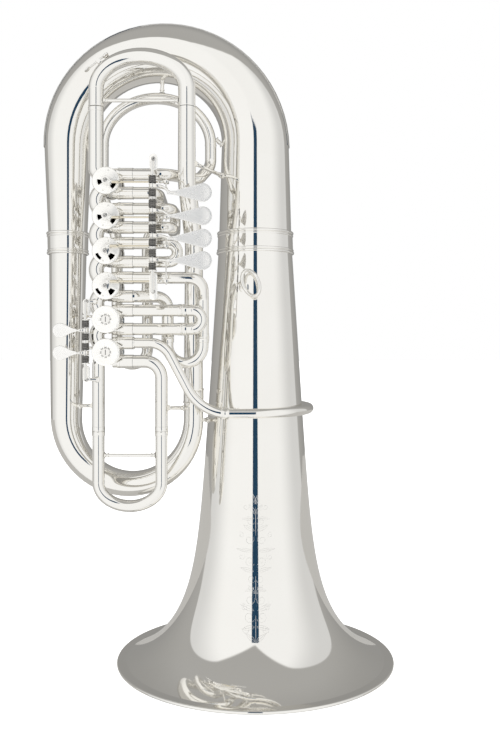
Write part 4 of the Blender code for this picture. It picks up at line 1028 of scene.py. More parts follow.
def make_casing(valve):
    """Casing barrel, bearing plate, collared port tubes, and the bend up to the next valve."""
    side = linkage_side(valve)
    z = VALVE_Z[valve]
    centre = Vector((VALVE_X, VALVE_Y, z))
    work = bmesh.new()
    half = CASING_HALF
    lower = [(CASING_RADIUS - 2.3, -half), (CASING_RADIUS - 0.4, -half),
             (CASING_RADIUS, 0.4 - half), (CASING_RADIUS, 3.0 - half),
             (CASING_RADIUS - 0.5, 3.4 - half)]
    shell = lower + [(radius, -height) for radius, height in reversed(lower)]
    turned(work, shell, centre, (0, 1, 0), 56)
    face = centre + Vector((0, side * (half + 0.1), 0))
    rim = [(SHAFT_RADIUS + 0.4, 0), (SHAFT_RADIUS + 0.4, 2.0), (CAP_RADIUS - 1.6, 2.0),
           (CAP_RADIUS - 0.5, 1.6), (CAP_RADIUS, 0.9), (CAP_RADIUS, -1.4), (CAP_RADIUS - 0.6, -2.0),
           (CASING_RADIUS - 1.0, -2.0), (CASING_RADIUS - 1.0, -0.2)]
    turned(work, rim, face, (0, side, 0), 56)
    for across, up, corners, radius in loop_corners(valve):
        way = port_path(valve, across, up, corners, radius)
        way = way[1:] if len(way) > 3 else way
        way[0] = (Vector(valve_point(valve, across * PORT_FOOT, up * PORT_FOOT)), radius)
        tube(work, way, sides=32)
        if across > 0:
            bullet(work, valve, up, radius)
        else:
            knuckle(work, valve, across, up, radius)
        end, before = way[-1][0], way[-2][0]
        along = (end - before).normalized()
        if len(corners) == 1 and abs(corners[0][0][0] - LOOP_START_X) < 1:
            continue
        sleeve_end(work, end, -along, radius)
    order = AIR_ORDER.index(valve)
    if order < len(AIR_ORDER) - 1:
        above = AIR_ORDER[order + 1]
        reach = (VALVE_Z[above] - z) / 2
        bend = reach * math.sqrt(2) - (CASING_RADIUS - 0.5)
        way = rounded([(valve_point(valve, -PORT_FOOT, PORT_FOOT), 0),
                       (valve_point(valve, -reach, reach), bend),
                       (valve_point(above, -PORT_FOOT, -PORT_FOOT), 0)], MAIN_RADIUS)
        tube(work, way, sides=32)
        knuckle(work, valve, -1, 1, MAIN_RADIUS)
        knuckle(work, above, -1, -1, MAIN_RADIUS)
    piece(f"valve_{valve}_casing", work, "instrument", [f"valve_casing_{valve}"], (SILVER, SCREW))


def crank_pin(valve, forward):
    angle = math.radians(CRANK_REST_ANGLE[valve])
    return Vector((VALVE_X + CRANK_RADIUS * math.cos(angle),
                   VALVE_Y + linkage_side(valve) * forward,
                   VALVE_Z[valve] + CRANK_RADIUS * math.sin(angle)))


def screw(work, point, along, radius=2.0, height=1.3, slot=1):
    """A domed screw head with its slot."""
    solid(work, [(radius, 0), (radius, height * 0.5), (radius * 0.8, height * 0.85),
                 (radius * 0.4, height)], point, along, 20, slot)
    along = Vector(along).normalized()
    right = along.orthogonal().normalized()
    # The slot is a flush strip in material slot 2; where that slot holds the painted shade
    # material, as on the rotor and the rack, it paints the shade down in the groove
    groove = Vector(point) + along * (height * 0.93)
    block(work, groove, (radius * 1.5, radius * 0.28, 0.25), right, along.cross(right), 0.05, 2)


def make_rotor(valve):
    """The rotor with its shaft, and on the linkage side the crank arm, flush screw and pin."""
    side = linkage_side(valve)
    out = Vector((0, side, 0))
    centre = Vector((VALVE_X, VALVE_Y, VALVE_Z[valve]))
    work = bmesh.new()
    body = CASING_RADIUS - 2.8
    solid(work, [(body, -ROTOR_HALF), (body, ROTOR_HALF)], centre, out, 40)
    shaft_end = CRANK_FACE + CRANK_THICKNESS
    solid(work, [(SHAFT_RADIUS, 18), (SHAFT_RADIUS, shaft_end - 0.4),
                 (SHAFT_RADIUS - 0.4, shaft_end)], centre, out, 28)
    arm_centre = centre + out * (CRANK_FACE + CRANK_THICKNESS / 2)
    tip = crank_pin(valve, CRANK_FACE + CRANK_THICKNESS / 2)
    reach = (tip - arm_centre).normalized()
    outline = []
    ends = ((0, 5.6, 70, 290, 16), (CRANK_RADIUS, 3.0, -80, 80, 12))
    for middle, radius, first, last, steps in ends:
        for i in range(steps + 1):
            angle = math.radians(first + (last - first) * i / steps)
            outline.append((middle + radius * math.cos(angle), radius * math.sin(angle)))
    plate(work, [outline], CRANK_THICKNESS, standing(arm_centre, reach, out.cross(reach)), 0.5)
    screw(work, centre + out * shaft_end, out, 2.6, 0.3)
    length = (crank_pin(valve, ROD_PLANE + 2.4) - tip).length
    solid(work, [(CRANK_PIN_RADIUS, 0), (CRANK_PIN_RADIUS, length - 0.6), (2.3, length - 0.6),
                 (2.3, length + 0.4), (1.6, length + 0.9)], tip, out, 20)
    # Material slot 2 is painted shade in the slot of the crank screw
    piece(f"valve_{valve}_rotor", work, f"rotor_{valve}", [f"rotor_{valve}"],
          (SILVER, SCREW, PAINTED_SHADE))


def make_cap(valve):
    """The screwed cap: a rounded edge, a flat face and a slotted nut in its middle."""
    side = -linkage_side(valve)
    centre = Vector((VALVE_X, VALVE_Y + side * CASING_HALF, VALVE_Z[valve]))
    inner = CASING_RADIUS + 0.25
    face = 2.5
    profile = [(ON_AXIS, face + 0.1), (CAP_RADIUS - 4.0, face - 0.1), (CAP_RADIUS - 3.0, face),
               (CAP_RADIUS - 1.2, face), (CAP_RADIUS - 0.4, face - 0.3), (CAP_RADIUS, face - 1.1),
               (CAP_RADIUS, face - 6.4), (CAP_RADIUS - 0.4, face - 6.8), (inner, face - 6.8),
               (inner, 0.35), (ON_AXIS, 0.35)]
    work = bmesh.new()
    turned(work, profile, centre, (0, side, 0), 72)
    nut = [(6.0, 0), (6.0, 1.0), (5.3, 1.5)]
    solid(work, nut, centre + Vector((0, side * (face + 0.1), 0)), (0, side, 0), 40, 1)
    # The nut's slot is a thin strip of dark spring steel laid on its face, which paints the shade
    # down in the slot
    block(work, centre + Vector((0, side * (face + 1.45), 0)), (1.3, 7.6, 0.4), corner=0.2, slot=2)
    piece(f"valve_{valve}_cap", work, "instrument", [f"valve_cap_{valve}"], (PLATE, SILVER, STEEL))


def stop_beans(valve):
    """The cut-outs of a stop plate: reach, half width, first and last angle."""
    if valve in (3, 4):
        return ((8.7, 3.0, 172, 214), (12.6, 2.8, -52, -16))
    if valve in (1, 2):
        return ((13.0, 2.0, 196, 240), (11.2, 3.6, -64, -24))
    return ((11.8, 2.6, -31, 31), (11.8, 2.6, 149, 211))


def make_stop_plate(valve):
    """The plate between casing and crank, cut out where the neoprene bumpers lie."""
    side = linkage_side(valve)
    out = Vector((0, side, 0))
    centre = Vector((VALVE_X, VALVE_Y + side * (CASING_HALF + 2.2), VALVE_Z[valve]))
    work = bmesh.new()
    place = standing(centre, (1, 0, 0), (0, 0, 1))
    beans = stop_beans(valve)
    plate(work, [round_outline(18.6)] + [kidney(*bean) for bean in beans], 0.9, place, 0.2)
    for reach, half_width, start, end in beans:
        bed = standing(centre - out * 0.25, (1, 0, 0), (0, 0, 1))
        plate(work, [kidney(reach, half_width + 0.6, start - 3, end + 3)], 0.3, bed, 0.05, 1)
    for turn in (75, 255):
        angle = math.radians(turn)
        spot = Vector((math.cos(angle) * 14.6, side * 0.4, math.sin(angle) * 14.6))
        screw(work, centre + spot, out, 1.3, 0.6, 2)
    piece(f"valve_{valve}_stop_plate", work, "instrument", (), (PLATE, BUMPER, SILVER))


# Slides

def slide_way(one, two, out, sleeve_at, crook_at, crook_height, insert, radius):
    """A U whose legs, at one and two, start inside their sleeves and end in a crook."""
    one, two, out = Vector(one), Vector(two), Vector(out)
    slim = radius - 0.9
    shown = radius - 0.4
    crook = arc((one + two) / 2 + out * crook_at, (two - one) / 2, out * crook_height, 180, 0,
                shown)
    ways = [[(leg + out * (sleeve_at - insert), slim), (leg + out * (sleeve_at + 0.6), slim),
             (leg + out * (sleeve_at + 0.9), shown)] for leg in (one, two)]
    return join(ways[0], crook, ways[1][::-1])


def make_slide(one, two, out, sleeve_at, crook_at, crook_height, insert, radius):
    """The drawn U with the bead of each sleeve's mouth, and a seam where the legs are long."""
    way = slide_way(one, two, out, sleeve_at, crook_at, crook_height, insert, radius)
    work = bmesh.new()
    tube(work, way, wall=0.8, sides=32)
    one, two, out = Vector(one), Vector(two), Vector(out)
    for leg in (one, two):
        sleeve_end(work, leg + out * (sleeve_at + 0.7), out, radius)
        if crook_at - sleeve_at > 12:
            seam(work, leg + out * (crook_at - 1.0), out, radius - 0.4)
    return work


def make_slides():
    """All valve slides: two legs, the way they pull, sleeve, crook, its height, insert, radius."""
    y = VALVE_Y
    right, down, back = (1, 0, 0), (0, 0, -1), (0, 1, 0)
    half_1 = (SLIDE1_RIGHT_X - SLIDE1_LEFT_X) / 2
    half_4 = (SLIDE4_RIGHT_X - SLIDE4_LEFT_X) / 2
    port = PORT_OFFSET
    z = VALVE_Z
    slides = {
        5: ((0, y, z[5] + port), (0, y, z[5] - port), right, SLIDE5_SLEEVE_X, SLIDE5_CROOK_X, port,
            INSERT, LOOP_RADIUS),
        2: ((0, y, z[2] + port), (0, y, z[2] - port), right, SLIDE2_SLEEVE_X, SLIDE2_CROOK_X, port,
            INSERT, LOOP_RADIUS),
        6: ((SLIDE6_LEFT_X, y, 0), (SLIDE6_RIGHT_X, y, 0), down, -SLIDE6_SLEEVE_Z, -SLIDE6_SPRING_Z,
            SLIDE6_CROOK_HEIGHT, INSERT + 20, SLIDE6_RADIUS),
        1: ((SLIDE1_LEFT_X, SLIDE1_Y, 0), (SLIDE1_RIGHT_X, SLIDE1_Y, 0), down, -SLIDE1_SLEEVE_Z,
            -SLIDE1_SPRING_Z, half_1, INSERT, LOOP_RADIUS),
        4: ((SLIDE4_LEFT_X, SLIDE4_Y, 0), (SLIDE4_RIGHT_X, SLIDE4_Y, 0), down, -SLIDE4_SLEEVE_Z,
            -SLIDE4_SPRING_Z, half_4, INSERT, LOOP_RADIUS),
        3: ((SLIDE3_X, 0, z[3] + port), (SLIDE3_X, 0, z[3] - port), back, SLIDE3_SLEEVE_Y,
            SLIDE3_CROOK_Y, port, INSERT - 14, LOOP_RADIUS)}
    for valve, values in slides.items():
        work = make_slide(*values)
        piece(f"slide_{valve}_tube", work, f"valve_slide_{valve}", [f"valve_slide_{valve}"])
    work = bmesh.new()
    stay(work, (SLIDE6_LEFT_X + SLIDE6_RADIUS - 0.6, y, SLIDE6_BRACE_Z),
         (SLIDE6_RIGHT_X - SLIDE6_RADIUS + 0.6, y, SLIDE6_BRACE_Z))
    piece("slide_6_stay", work, "valve_slide_6", ["valve_slide_6_brace"])


def stay(work, start, end, radius=2.3, flange=4.6):
    """A turned stay: a rod with a stepped flange and a ring at each end."""
    start, end = Vector(start), Vector(end)
    along = (end - start).normalized()
    length = (end - start).length
    half = [(flange, 0), (flange, 0.8), (flange * 0.72, 1.4), (radius + 0.3, 2.2), (radius, 3.2),
            (radius, 4.4), (radius + 0.9, 5.0), (radius + 0.9, 6.0), (radius, 6.6)]
    half = [(reach, min(away, length * 0.45)) for reach, away in half]
    other = [(reach, length - away) for reach, away in reversed(half)]
    solid(work, half + other, start, along, 24)


def make_main_slide():
    """The main slide's crook and legs, wider on the right, with its seams and its stay."""
    half = (MAIN_RIGHT_X - MAIN_LEFT_X) / 2
    low = MAIN_SLEEVE_TOP_Z - 40
    top = MAIN_SLEEVE_TOP_Z + 0.3
    crook = arc(((MAIN_LEFT_X + MAIN_RIGHT_X) / 2, VALVE_Y, MAIN_CROOK_SPRING_Z), (half, 0, 0),
                (0, 0, MAIN_CROOK_HEIGHT), 180, 0, MAIN_RADIUS, MAIN_RIGHT_RADIUS)
    sides = ((MAIN_LEFT_X, MAIN_RADIUS), (MAIN_RIGHT_X, MAIN_RIGHT_RADIUS))
    left, right = [[(Vector((x, VALVE_Y, low)), radius - 1.2),
                    (Vector((x, VALVE_Y, top)), radius - 1.2),
                    (Vector((x, VALVE_Y, top + 0.4)), radius)] for x, radius in sides]
    work = bmesh.new()
    tube(work, join(left, crook, right[::-1]), wall=0.8, sides=40)
    for x, radius in sides:
        for z in (top + 1.2, MAIN_CROOK_SPRING_Z):
            seam(work, Vector((x, VALVE_Y, z)), (0, 0, 1), radius)
    piece("main_slide_tube", work, "main_slide", ["main_slide"])
    work = bmesh.new()
    stay(work, (MAIN_LEFT_X + MAIN_RADIUS - 0.2, VALVE_Y, MAIN_BRACE_Z),
         (MAIN_RIGHT_X - MAIN_RIGHT_RADIUS + 0.2, VALVE_Y, MAIN_BRACE_Z), 2.6, 5.0)
    piece("main_slide_stay", work, "main_slide", ["main_slide_brace"])


# Fourth loop

def make_fourth_loop():
    """From valve 4 back and up, over the arch, and down to the slide's far sleeve."""
    high = VALVE_Z[4] + PORT_OFFSET
    right_x, left_x = ARCH_X + ARCH_HALF_WIDTH, ARCH_X - ARCH_HALF_WIDTH
    right_foot, left_foot = (right_x, ARCH_Y, ARCH_SPRING_Z), (left_x, ARCH_Y, ARCH_SPRING_Z)
    lead = rounded([((LOOP_START_X, VALVE_Y, high), 0), ((-130, VALVE_Y, high), 22),
                    ((-84, -39, high + 2), 22), ((right_x, ARCH_Y, 752), 22), (right_foot, 0)],
                   LOOP_RADIUS)
    arch = arc((ARCH_X, ARCH_Y, ARCH_SPRING_Z), (ARCH_HALF_WIDTH, 0, 0), (0, 0, ARCH_HEIGHT),
               0, 180, LOOP_RADIUS)
    fall = rounded([(left_foot, 0), ((left_x, ARCH_Y, 706), 60),
                    ((SLIDE4_LEFT_X, SLIDE4_Y, 640), 60),
                    ((SLIDE4_LEFT_X, SLIDE4_Y, SLIDE4_SLEEVE_Z), 0)], LOOP_RADIUS)
    work = bmesh.new()
    tube(work, join(lead, arch, fall), sides=32)
    for foot in (left_foot, right_foot):
        seam(work, Vector(foot), (0, 0, 1), LOOP_RADIUS)
    sleeve_end(work, Vector((SLIDE4_LEFT_X, SLIDE4_Y, SLIDE4_SLEEVE_Z)), (0, 0, 1), LOOP_RADIUS)
    piece("fourth_loop_tube", work, "instrument", ["fourth_valve_loop"])


# Levers

# An axle and a post are (x, y); a post and an arm are counted from the axle
RIGHT_AXLE = (-142.4, -138.0)
RIGHT_AXLE_Z = (551.0, 732.0)
RIGHT_LEVER_Z = {4: 697.9, 3: 664.0, 2: 629.3, 1: 596.2}
RIGHT_POST = (17.0, 20.0)
RIGHT_PADDLE_X = (-118.0, -60.3)
RIGHT_PADDLE_DROP = {4: 9.5, 3: 7.5, 2: 3.5, 1: 1.0}
RIGHT_PADDLE_WIDTH = 26.0
LEFT_AXLE = (-241.6, -100.0)
LEFT_AXLE_Z = (430.0, 541.0)
LEFT_LEVER_Z = {5: 500.0, 6: 468.0}
LEFT_POST = (-9.0, 44.0)
LEFT_ARM = ((-10.0, 8.0), (-12.0, 34.0))
LEFT_PADDLE_X = (-258.0, -288.0)
LEFT_PADDLE_WIDTH = 21.0
AXLE_RADIUS = 2.4
HUB_RADIUS = 4.6
HUB_HALF = 3.2
SPRING_RADIUS = 4.8
SPRING_WIRE = 0.62
COIL_PITCH = 2.0
BRACKET_WIDTH = 11.0
END_REACH = 31.0             # stands for the distance to the next lever past the last one


def teardrop(near, far, width):
    """A touch plate's outline: a slim neck that widens in a smooth curve to a round end."""
    side = 1 if far > near else -1
    radius = width / 2
    centre = far - side * radius
    neck = 2.0
    upper = []
    join_angle = math.radians(118)
    join_x = centre + side * radius * math.cos(join_angle)
    join_y = radius * math.sin(join_angle)
    for i in range(11):
        share = i / 10
        ease = share * share * (3 - 2 * share) * 0.55 + share * share * 0.45
        upper.append((near + (join_x - near) * share, neck + (join_y - neck) * ease))
    for i in range(1, 13):
        angle = join_angle * (1 - i / 12)
        upper.append((centre + side * radius * math.cos(angle), radius * math.sin(angle)))
    return upper + [(x, -y) for x, y in reversed(upper[:-1])]


def touch_plate(work, near, far, y, z, width, slot):
    """The finger plate, gently dished, with a rounded edge."""
    outline = teardrop(near, far, width)
    side = 1 if far > near else -1
    centre = Vector((far - side * width / 2, 0, 0))

    def shell(inset, forward):
        """The outline drawn in by inset, at one depth."""
        ring = []
        for x, up in outline:
            toward = centre - Vector((x, 0, up))
            reach = toward.length
            step = min(inset, reach * 0.9)
            moved = Vector((x, 0, up)) + toward.normalized() * step
            ring.append((moved.x, y + forward, z + moved.z))
        return ring
    half = 1.0
    rings = [shell(3.2, half), shell(0.6, half), shell(0.15, half * 0.6), shell(0, 0),
             shell(0.15, -half * 0.6), shell(0.6, -half), shell(2.2, -half - 0.1),
             shell(5.0, -half + 0.15)]
    loft(work, rings, slot=slot)


def rod_height(valve):
    return crank_pin(valve, ROD_PLANE).z


def make_lever(valve, axle, lever_z, post, arm, paddle_x, paddle_z, width):
    """Hub, drive arm with its post, neck, touch plate, and a screwed block by the hub."""
    x, y = axle
    work = bmesh.new()
    lower = [(AXLE_RADIUS + 0.3, -HUB_HALF), (HUB_RADIUS, -HUB_HALF),
             (HUB_RADIUS + 0.5, 0.5 - HUB_HALF), (HUB_RADIUS + 0.5, 1.4 - HUB_HALF),
             (HUB_RADIUS, 1.8 - HUB_HALF)]
    upper = [(radius, -height) for radius, height in reversed(lower)]
    turned(work, lower + upper, (x, y, lever_z), (0, 0, 1), 32)
    post_x, post_y = x + post[0], y + post[1]
    way = [((x, y, lever_z), 0)] + [((x + across, y + back, lever_z), 3) for across, back in arm]
    rod(work, rounded(way + [((post_x, post_y, lever_z), 0)], 1.5), 16)
    up = 1 if rod_height(valve) > lever_z else -1
    tip = rod_height(valve) + up * 5.0
    rod(work, line((post_x, post_y, lever_z - up * 1.5), (post_x, post_y, tip), 1.0), 16)
    ball(work, (post_x, post_y, lever_z), 2.4)
    near, far = paddle_x
    side = 1 if far > near else -1
    paddle_y = y - 2.0
    neck_end = near + side * abs(far - near) * 0.45
    neck = rounded([((x, y - 1.0, lever_z), 0),
                    ((x + (near - x) * 0.55, paddle_y + 1, lever_z), 12),
                    ((near, paddle_y + 0.4, paddle_z), 12),
                    ((neck_end, paddle_y + 1.0, paddle_z), 0)], 1.9, 1.3)
    rod(work, neck, 18)
    touch_plate(work, near - side * 4, far, paddle_y, paddle_z, width, 1)
    block(work, (x + side * 6.0, y - 2.6, lever_z), (7.0, 4.0, 2.4), (1, 0, 0), (0, 0, 1), 1.2)
    screw(work, (x + side * 6.5, y - 3.8, lever_z), (0, -1, 0), 1.3, 0.7, 2)
    piece(f"lever_{valve}_paddle", work, f"lever_{valve}", [f"paddle_{valve}"],
          (SILVER, SATIN, SCREW))


def make_rod(valve, post_x, slot_y, sweep):
    """The link rod: a ring on the crank pin, a sleeved shaft with a lock nut, and the slot
    that the lever's post moves in, which sits off the post by sweep."""
    pin = crank_pin(valve, ROD_PLANE)
    side = 1 if post_x > pin.x else -1
    z = pin.z
    work = bmesh.new()
    turned(work, [(2.0, -1.5), (3.4, -1.5), (3.9, -1.0), (3.9, 1.0), (3.4, 1.5), (2.0, 1.5)], pin,
           (0, 1, 0), 32)
    end_x = post_x - side * 3.2
    rod(work, line(pin + Vector((side * 3.2, 0, 0)), (end_x, pin.y, z), 1.3), 16, 1)
    along = Vector((side, 0, 0))
    solid(work, [(1.5, 0), (1.85, 0.8), (1.85, 14.4), (1.4, 15.2)], pin + along * 3.4, along, 16, 1)
    solid(work, [(1.7, 0), (2.1, 0.6), (2.1, 6.4), (1.7, 7.0)],
          Vector((end_x, pin.y, z)) - along * 8.5, along, 16)
    middle_y = (slot_y[0] + slot_y[1]) / 2
    length = abs(slot_y[1] - slot_y[0]) + 3.6
    outline = round_rectangle(7.4, length + 3.0, 1.6)
    slot = round_rectangle(4.2, length, 1.4)
    plate(work, [outline, slot], 4.0, standing((post_x + sweep, middle_y, z), (1, 0, 0), (0, 1, 0)),
          0.4)
    piece(f"link_{valve}_rod", work, f"link_rod_{valve}", [f"link_rod_{valve}"], (SILVER, GILT))


def coil(work, centre, low, high):
    """Turns of spring wire round an axle, over a sleeve inside them that paints the shade within
    the coil.
    """
    x, y = centre
    turns = round((high - low) / COIL_PITCH)
    steps = turns * 20
    way = [(Vector((x + SPRING_RADIUS * math.cos(TURN * turns * i / steps),
                    y + SPRING_RADIUS * math.sin(TURN * turns * i / steps),
                    low + SPRING_WIRE + (high - low - 2 * SPRING_WIRE) * i / steps)), SPRING_WIRE)
           for i in range(steps + 1)]
    rod(work, way, 8)
    # The sleeve takes material slot 1, painted shade that shows between the turns
    outer = SPRING_RADIUS - SPRING_WIRE * 0.4
    turned(work, [(AXLE_RADIUS + 0.2, low + 0.4), (outer, low + 0.4), (outer, high - 0.4),
                  (AXLE_RADIUS + 0.2, high - 0.4)], (x, y, 0), (0, 0, 1), 24, 1)


def make_spring(valve, axle, lever_z, reaches):
    """A torsion spring wound below and above its lever, with a thin collar at each end."""
    x, y = axle
    work = bmesh.new()
    for sign, reach in zip((-1, 1), reaches):
        near, far = lever_z + sign * (HUB_HALF + 0.6), lever_z + sign * reach
        coil(work, axle, min(near, far), max(near, far))
        turned(work, [(AXLE_RADIUS + 0.1, 0.2), (6.2, 0.2), (6.4, 0.5), (6.4, 1.3), (6.2, 1.6),
                      (AXLE_RADIUS + 0.1, 1.6)], (x, y, far), (0, 0, sign), 28, 2)
    # The second material is painted shade, inside the coils
    piece(f"spring_{valve}_coil", work, "instrument", [f"lever_spring_{valve}"],
          (STEEL, PAINTED_SHADE, SILVER))


def bracket(work, axle, centre_z, height, screw_z, foot):
    """An upright round-ended plate that holds the axle's end, screwed to a post behind it."""
    x, y = axle
    plate(work, [round_rectangle(BRACKET_WIDTH, height, BRACKET_WIDTH / 2 - 0.1, 8)], 2.2,
          standing((x + 1.2, y + 1.6, centre_z), (1, 0, 0), (0, 0, 1)), 0.4, 3)
    screw(work, (x + 1.2, y + 0.5, screw_z), (0, -1, 0), 2.9, 1.4)
    rod(work, rounded([((x + 1.2, y + 2.4, screw_z), 0)] + foot, 2.6), 20)
    solid(work, [(4.4, 0), (4.4, 0.8), (3.4, 1.8), (2.6, 2.4)], Vector(foot[-1][0]), (0, -1, 0), 24)


def make_rack(name, axle, ends, brackets, node):
    """An axle in its brackets: each has its middle, height, screw and the way of its foot."""
    x, y = axle
    low, high = ends
    work = bmesh.new()
    rod(work, line((x, y, low), (x, y, high), AXLE_RADIUS), 24)
    for centre_z, height, screw_z, foot in brackets:
        bracket(work, axle, centre_z, height, screw_z, foot)
    # Material slot 2 is painted shade in the slots of the bracket screws
    piece(name, work, "instrument", [node], (SILVER, SCREW, PAINTED_SHADE, PLATE))


def make_levers():
    """Levers 1 to 4 for the right hand and 5 and 6 for the left, with rods, springs, racks."""
    port = PORT_OFFSET
    x, y = RIGHT_AXLE
    heights = RIGHT_LEVER_Z.values()
    for valve, lever_z in RIGHT_LEVER_Z.items():
        make_lever(valve, RIGHT_AXLE, lever_z, RIGHT_POST, (), RIGHT_PADDLE_X,
                   lever_z - RIGHT_PADDLE_DROP[valve], RIGHT_PADDLE_WIDTH)
        post_y = y + RIGHT_POST[1]
        make_rod(valve, x + RIGHT_POST[0], (post_y, post_y + 5.2), -0.3)
        down = min((lever_z - z for z in heights if z < lever_z), default=END_REACH)
        up = min((z - lever_z for z in heights if z > lever_z), default=END_REACH)
        make_spring(valve, RIGHT_AXLE, lever_z, (down / 2 - 1.7, up / 2 - 1.7))
    front = VALVE_Y - LOOP_RADIUS
    make_rack("right_rack", RIGHT_AXLE, RIGHT_AXLE_Z,
              [(560.0, 38.0, 552.5, [((x, front, VALVE_Z[1] - port), 0)]),
               (731.0, 23.0, 735.5, [((x, front, VALVE_Z[4] + port), 0)])], "right_hand_rack")
    x, y = LEFT_AXLE
    for valve, lever_z in LEFT_LEVER_Z.items():
        make_lever(valve, LEFT_AXLE, lever_z, LEFT_POST, LEFT_ARM, LEFT_PADDLE_X, lever_z,
                   LEFT_PADDLE_WIDTH)
        post_y = y + LEFT_POST[1]
        make_rod(valve, x + LEFT_POST[0], (post_y, post_y + 1.0), 0.0)
        make_spring(valve, LEFT_AXLE, lever_z, (14.3, 14.3))
    brackets = []
    for z, inward, foot_x, radius in zip(LEFT_AXLE_Z, (1, -1), (SLIDE6_LEFT_X, VALVE_X - 17.5),
                                         (SLIDE6_RADIUS, MAIN_RADIUS)):
        foot = [((foot_x, y + 5, z), 2), ((foot_x, VALVE_Y - radius, z), 0)]
        brackets.append((z + inward * 8.0, 24.0, z, foot))
    make_rack("left_rack", LEFT_AXLE, LEFT_AXLE_Z, brackets, "left_hand_rack")


# Small pieces

THUMB_RING_Z = 569.0
WATER_KEY_ANGLE = 142.0


def make_thumb_ring():
    """A tilted oval ring on a short post, with a turned foot on the bell."""
    centre = Vector((-7.0, -(bell_radius(THUMB_RING_Z) + 15.0), THUMB_RING_Z))
    long_axis, short_axis = Vector((-8.0, 2.0, 18.0)), Vector((10.0, -8.0, 5.0))
    work = bmesh.new()
    ring_loop(work, arc(centre, long_axis, short_axis, 0, 360, 2.5)[:-1], 20)
    low = centre - short_axis
    foot_y = -math.sqrt(bell_radius(low.z) ** 2 - low.x ** 2)
    rod(work, graded(line(low, (low.x, foot_y, low.z), 2.2, steps=4), 2.2, 3.6), 20)
    solid(work, [(8.0, 0.0), (8.0, 0.7), (6.4, 1.4), (3.4, 2.0)],
          (low.x, foot_y + 0.6, low.z), (low.x * 0.02, -1, 0), 32)
    piece("thumb_ring_oval", work, "instrument", ["thumb_ring"])


def make_water_key():
    """Lever, saddle with its pivot screw, cork cup and spring on the crook's shoulder."""
    angle = math.radians(WATER_KEY_ANGLE)
    half = (MAIN_RIGHT_X - MAIN_LEFT_X) / 2
    centre = Vector(((MAIN_LEFT_X + MAIN_RIGHT_X) / 2, VALVE_Y, MAIN_CROOK_SPRING_Z))
    spot = centre + Vector((half * math.cos(angle), 0, MAIN_CROOK_HEIGHT * math.sin(angle)))
    outward = Vector((math.cos(angle) / half, 0, math.sin(angle) / MAIN_CROOK_HEIGHT)).normalized()
    along = Vector((outward.z, 0, -outward.x))
    back = Vector((0, 1, 0))
    lift = MAIN_RADIUS + 0.3
    pad = spot + along * 13 + outward * (lift + 2.6)
    axis = spot + outward * (lift + 4.5)
    touch = spot - along * 20 + outward * (lift + 6.0)
    work = bmesh.new()
    rod(work, rounded([(pad + outward * 1.5, 0), (axis, 12), (touch, 0)], 1.4), 16)
    solid(work, [(2.6, -2.6), (2.6, 1.2)], pad, outward, 28, 1)
    solid(work, [(4.3, -1.0), (4.6, -0.4), (4.6, 1.6), (3.0, 2.6)], pad, outward, 28)
    solid(work, [(2.4, -4.6), (2.4, 4.6)], axis, back, 24)
    screw(work, axis - back * 4.6, -back, 2.1, 1.0, 2)
    turned(work, [(ON_AXIS, -0.9), (4.4, -0.9), (5.0, -0.3), (5.0, 0.4), (4.4, 0.9),
                  (ON_AXIS, 0.7)], touch, outward, 28)
    piece("water_key_lever", work, "water_key", ["water_key"], (SILVER, CORK, SCREW))
    work = bmesh.new()
    base = spot + outward * (MAIN_RADIUS - 0.4)
    for sign in (-1, 1):
        block(work, base + back * sign * 5.6 + outward * 3.2, (6.0, 7.6, 1.4), along, outward, 1.8)
    turned(work, [(2.2, 0), (3.6, 0), (3.4, 1.6), (2.2, 1.6)], base + along * 13, outward, 24)
    piece("water_key_saddle", work, "main_slide", (), (SILVER,))


def make_braces():
    """Stays between neighbouring tubes, each given by the middles of its two flanges."""
    arch_top = Vector((ARCH_X, ARCH_Y, ARCH_SPRING_Z + ARCH_HEIGHT + LOOP_RADIUS))
    bow_under = BOW_SPRING_Z + BOW_SPAN / 2 - 43.0
    left_bow = BOW_RADII[1] - BOW_SPAN
    right_bow = -BOW_RADII[3]
    post_x = arch_top.x + 8
    stays = [
        ((post_x, ARCH_Y, arch_top.z - 1.0), (post_x, -6.0, bow_under + 1.0)),
        ((left_bow - 1.5, -8.0, 778.0), (MAIN_LEFT_X - MAIN_RADIUS - 3.0, ARCH_Y, 790.0)),
        ((right_bow + 1.0, -6.0, 785.0),
         (ARCH_X + ARCH_HALF_WIDTH + LOOP_RADIUS - 0.5, ARCH_Y, 793.0)),
        ((BRANCH_LEFT_X + 22.0, -10.0, 387.0),
         (SLIDE6_LEFT_X - SLIDE6_RADIUS + 1.0, VALVE_Y + 3, 392.0)),
        ((BRANCH_RIGHT_X - 13.0, BRANCH_RIGHT_Y - 4, 386.0),
         (SLIDE6_RIGHT_X + SLIDE6_RADIUS - 1.0, VALVE_Y + 3, 388.8)),
        ((BRANCH_RIGHT_X + 11.5, BRANCH_RIGHT_Y, 368.0), (-bell_radius(366.0) + 1.0, -14.0, 366.0)),
        ((0.0, -LEADPIPE_RING + 6.0, LEADPIPE_Z),
         (0.0, -bell_radius(LEADPIPE_Z) + 0.5, LEADPIPE_Z)),
        ((MAIN_RIGHT_X + MAIN_RIGHT_RADIUS - 1.0, VALVE_Y, 740.0), (right_bow + 0.5, -18.0, 736.0)),
    ]
    for number, (start, end) in enumerate(stays, 1):
        work = bmesh.new()
        stay(work, start, end, 2.7, 4.6)
        piece(f"stay_{number}", work, "instrument", ())


# Engraving on the bell's front: made-up scrolls and leaves cut along its middle

CUT_WIDTH = 0.3
MIDDLE_CUTS = ((64.0, 98.0), (118.0, 150.0), (206.0, 246.0))   # from and to, in height

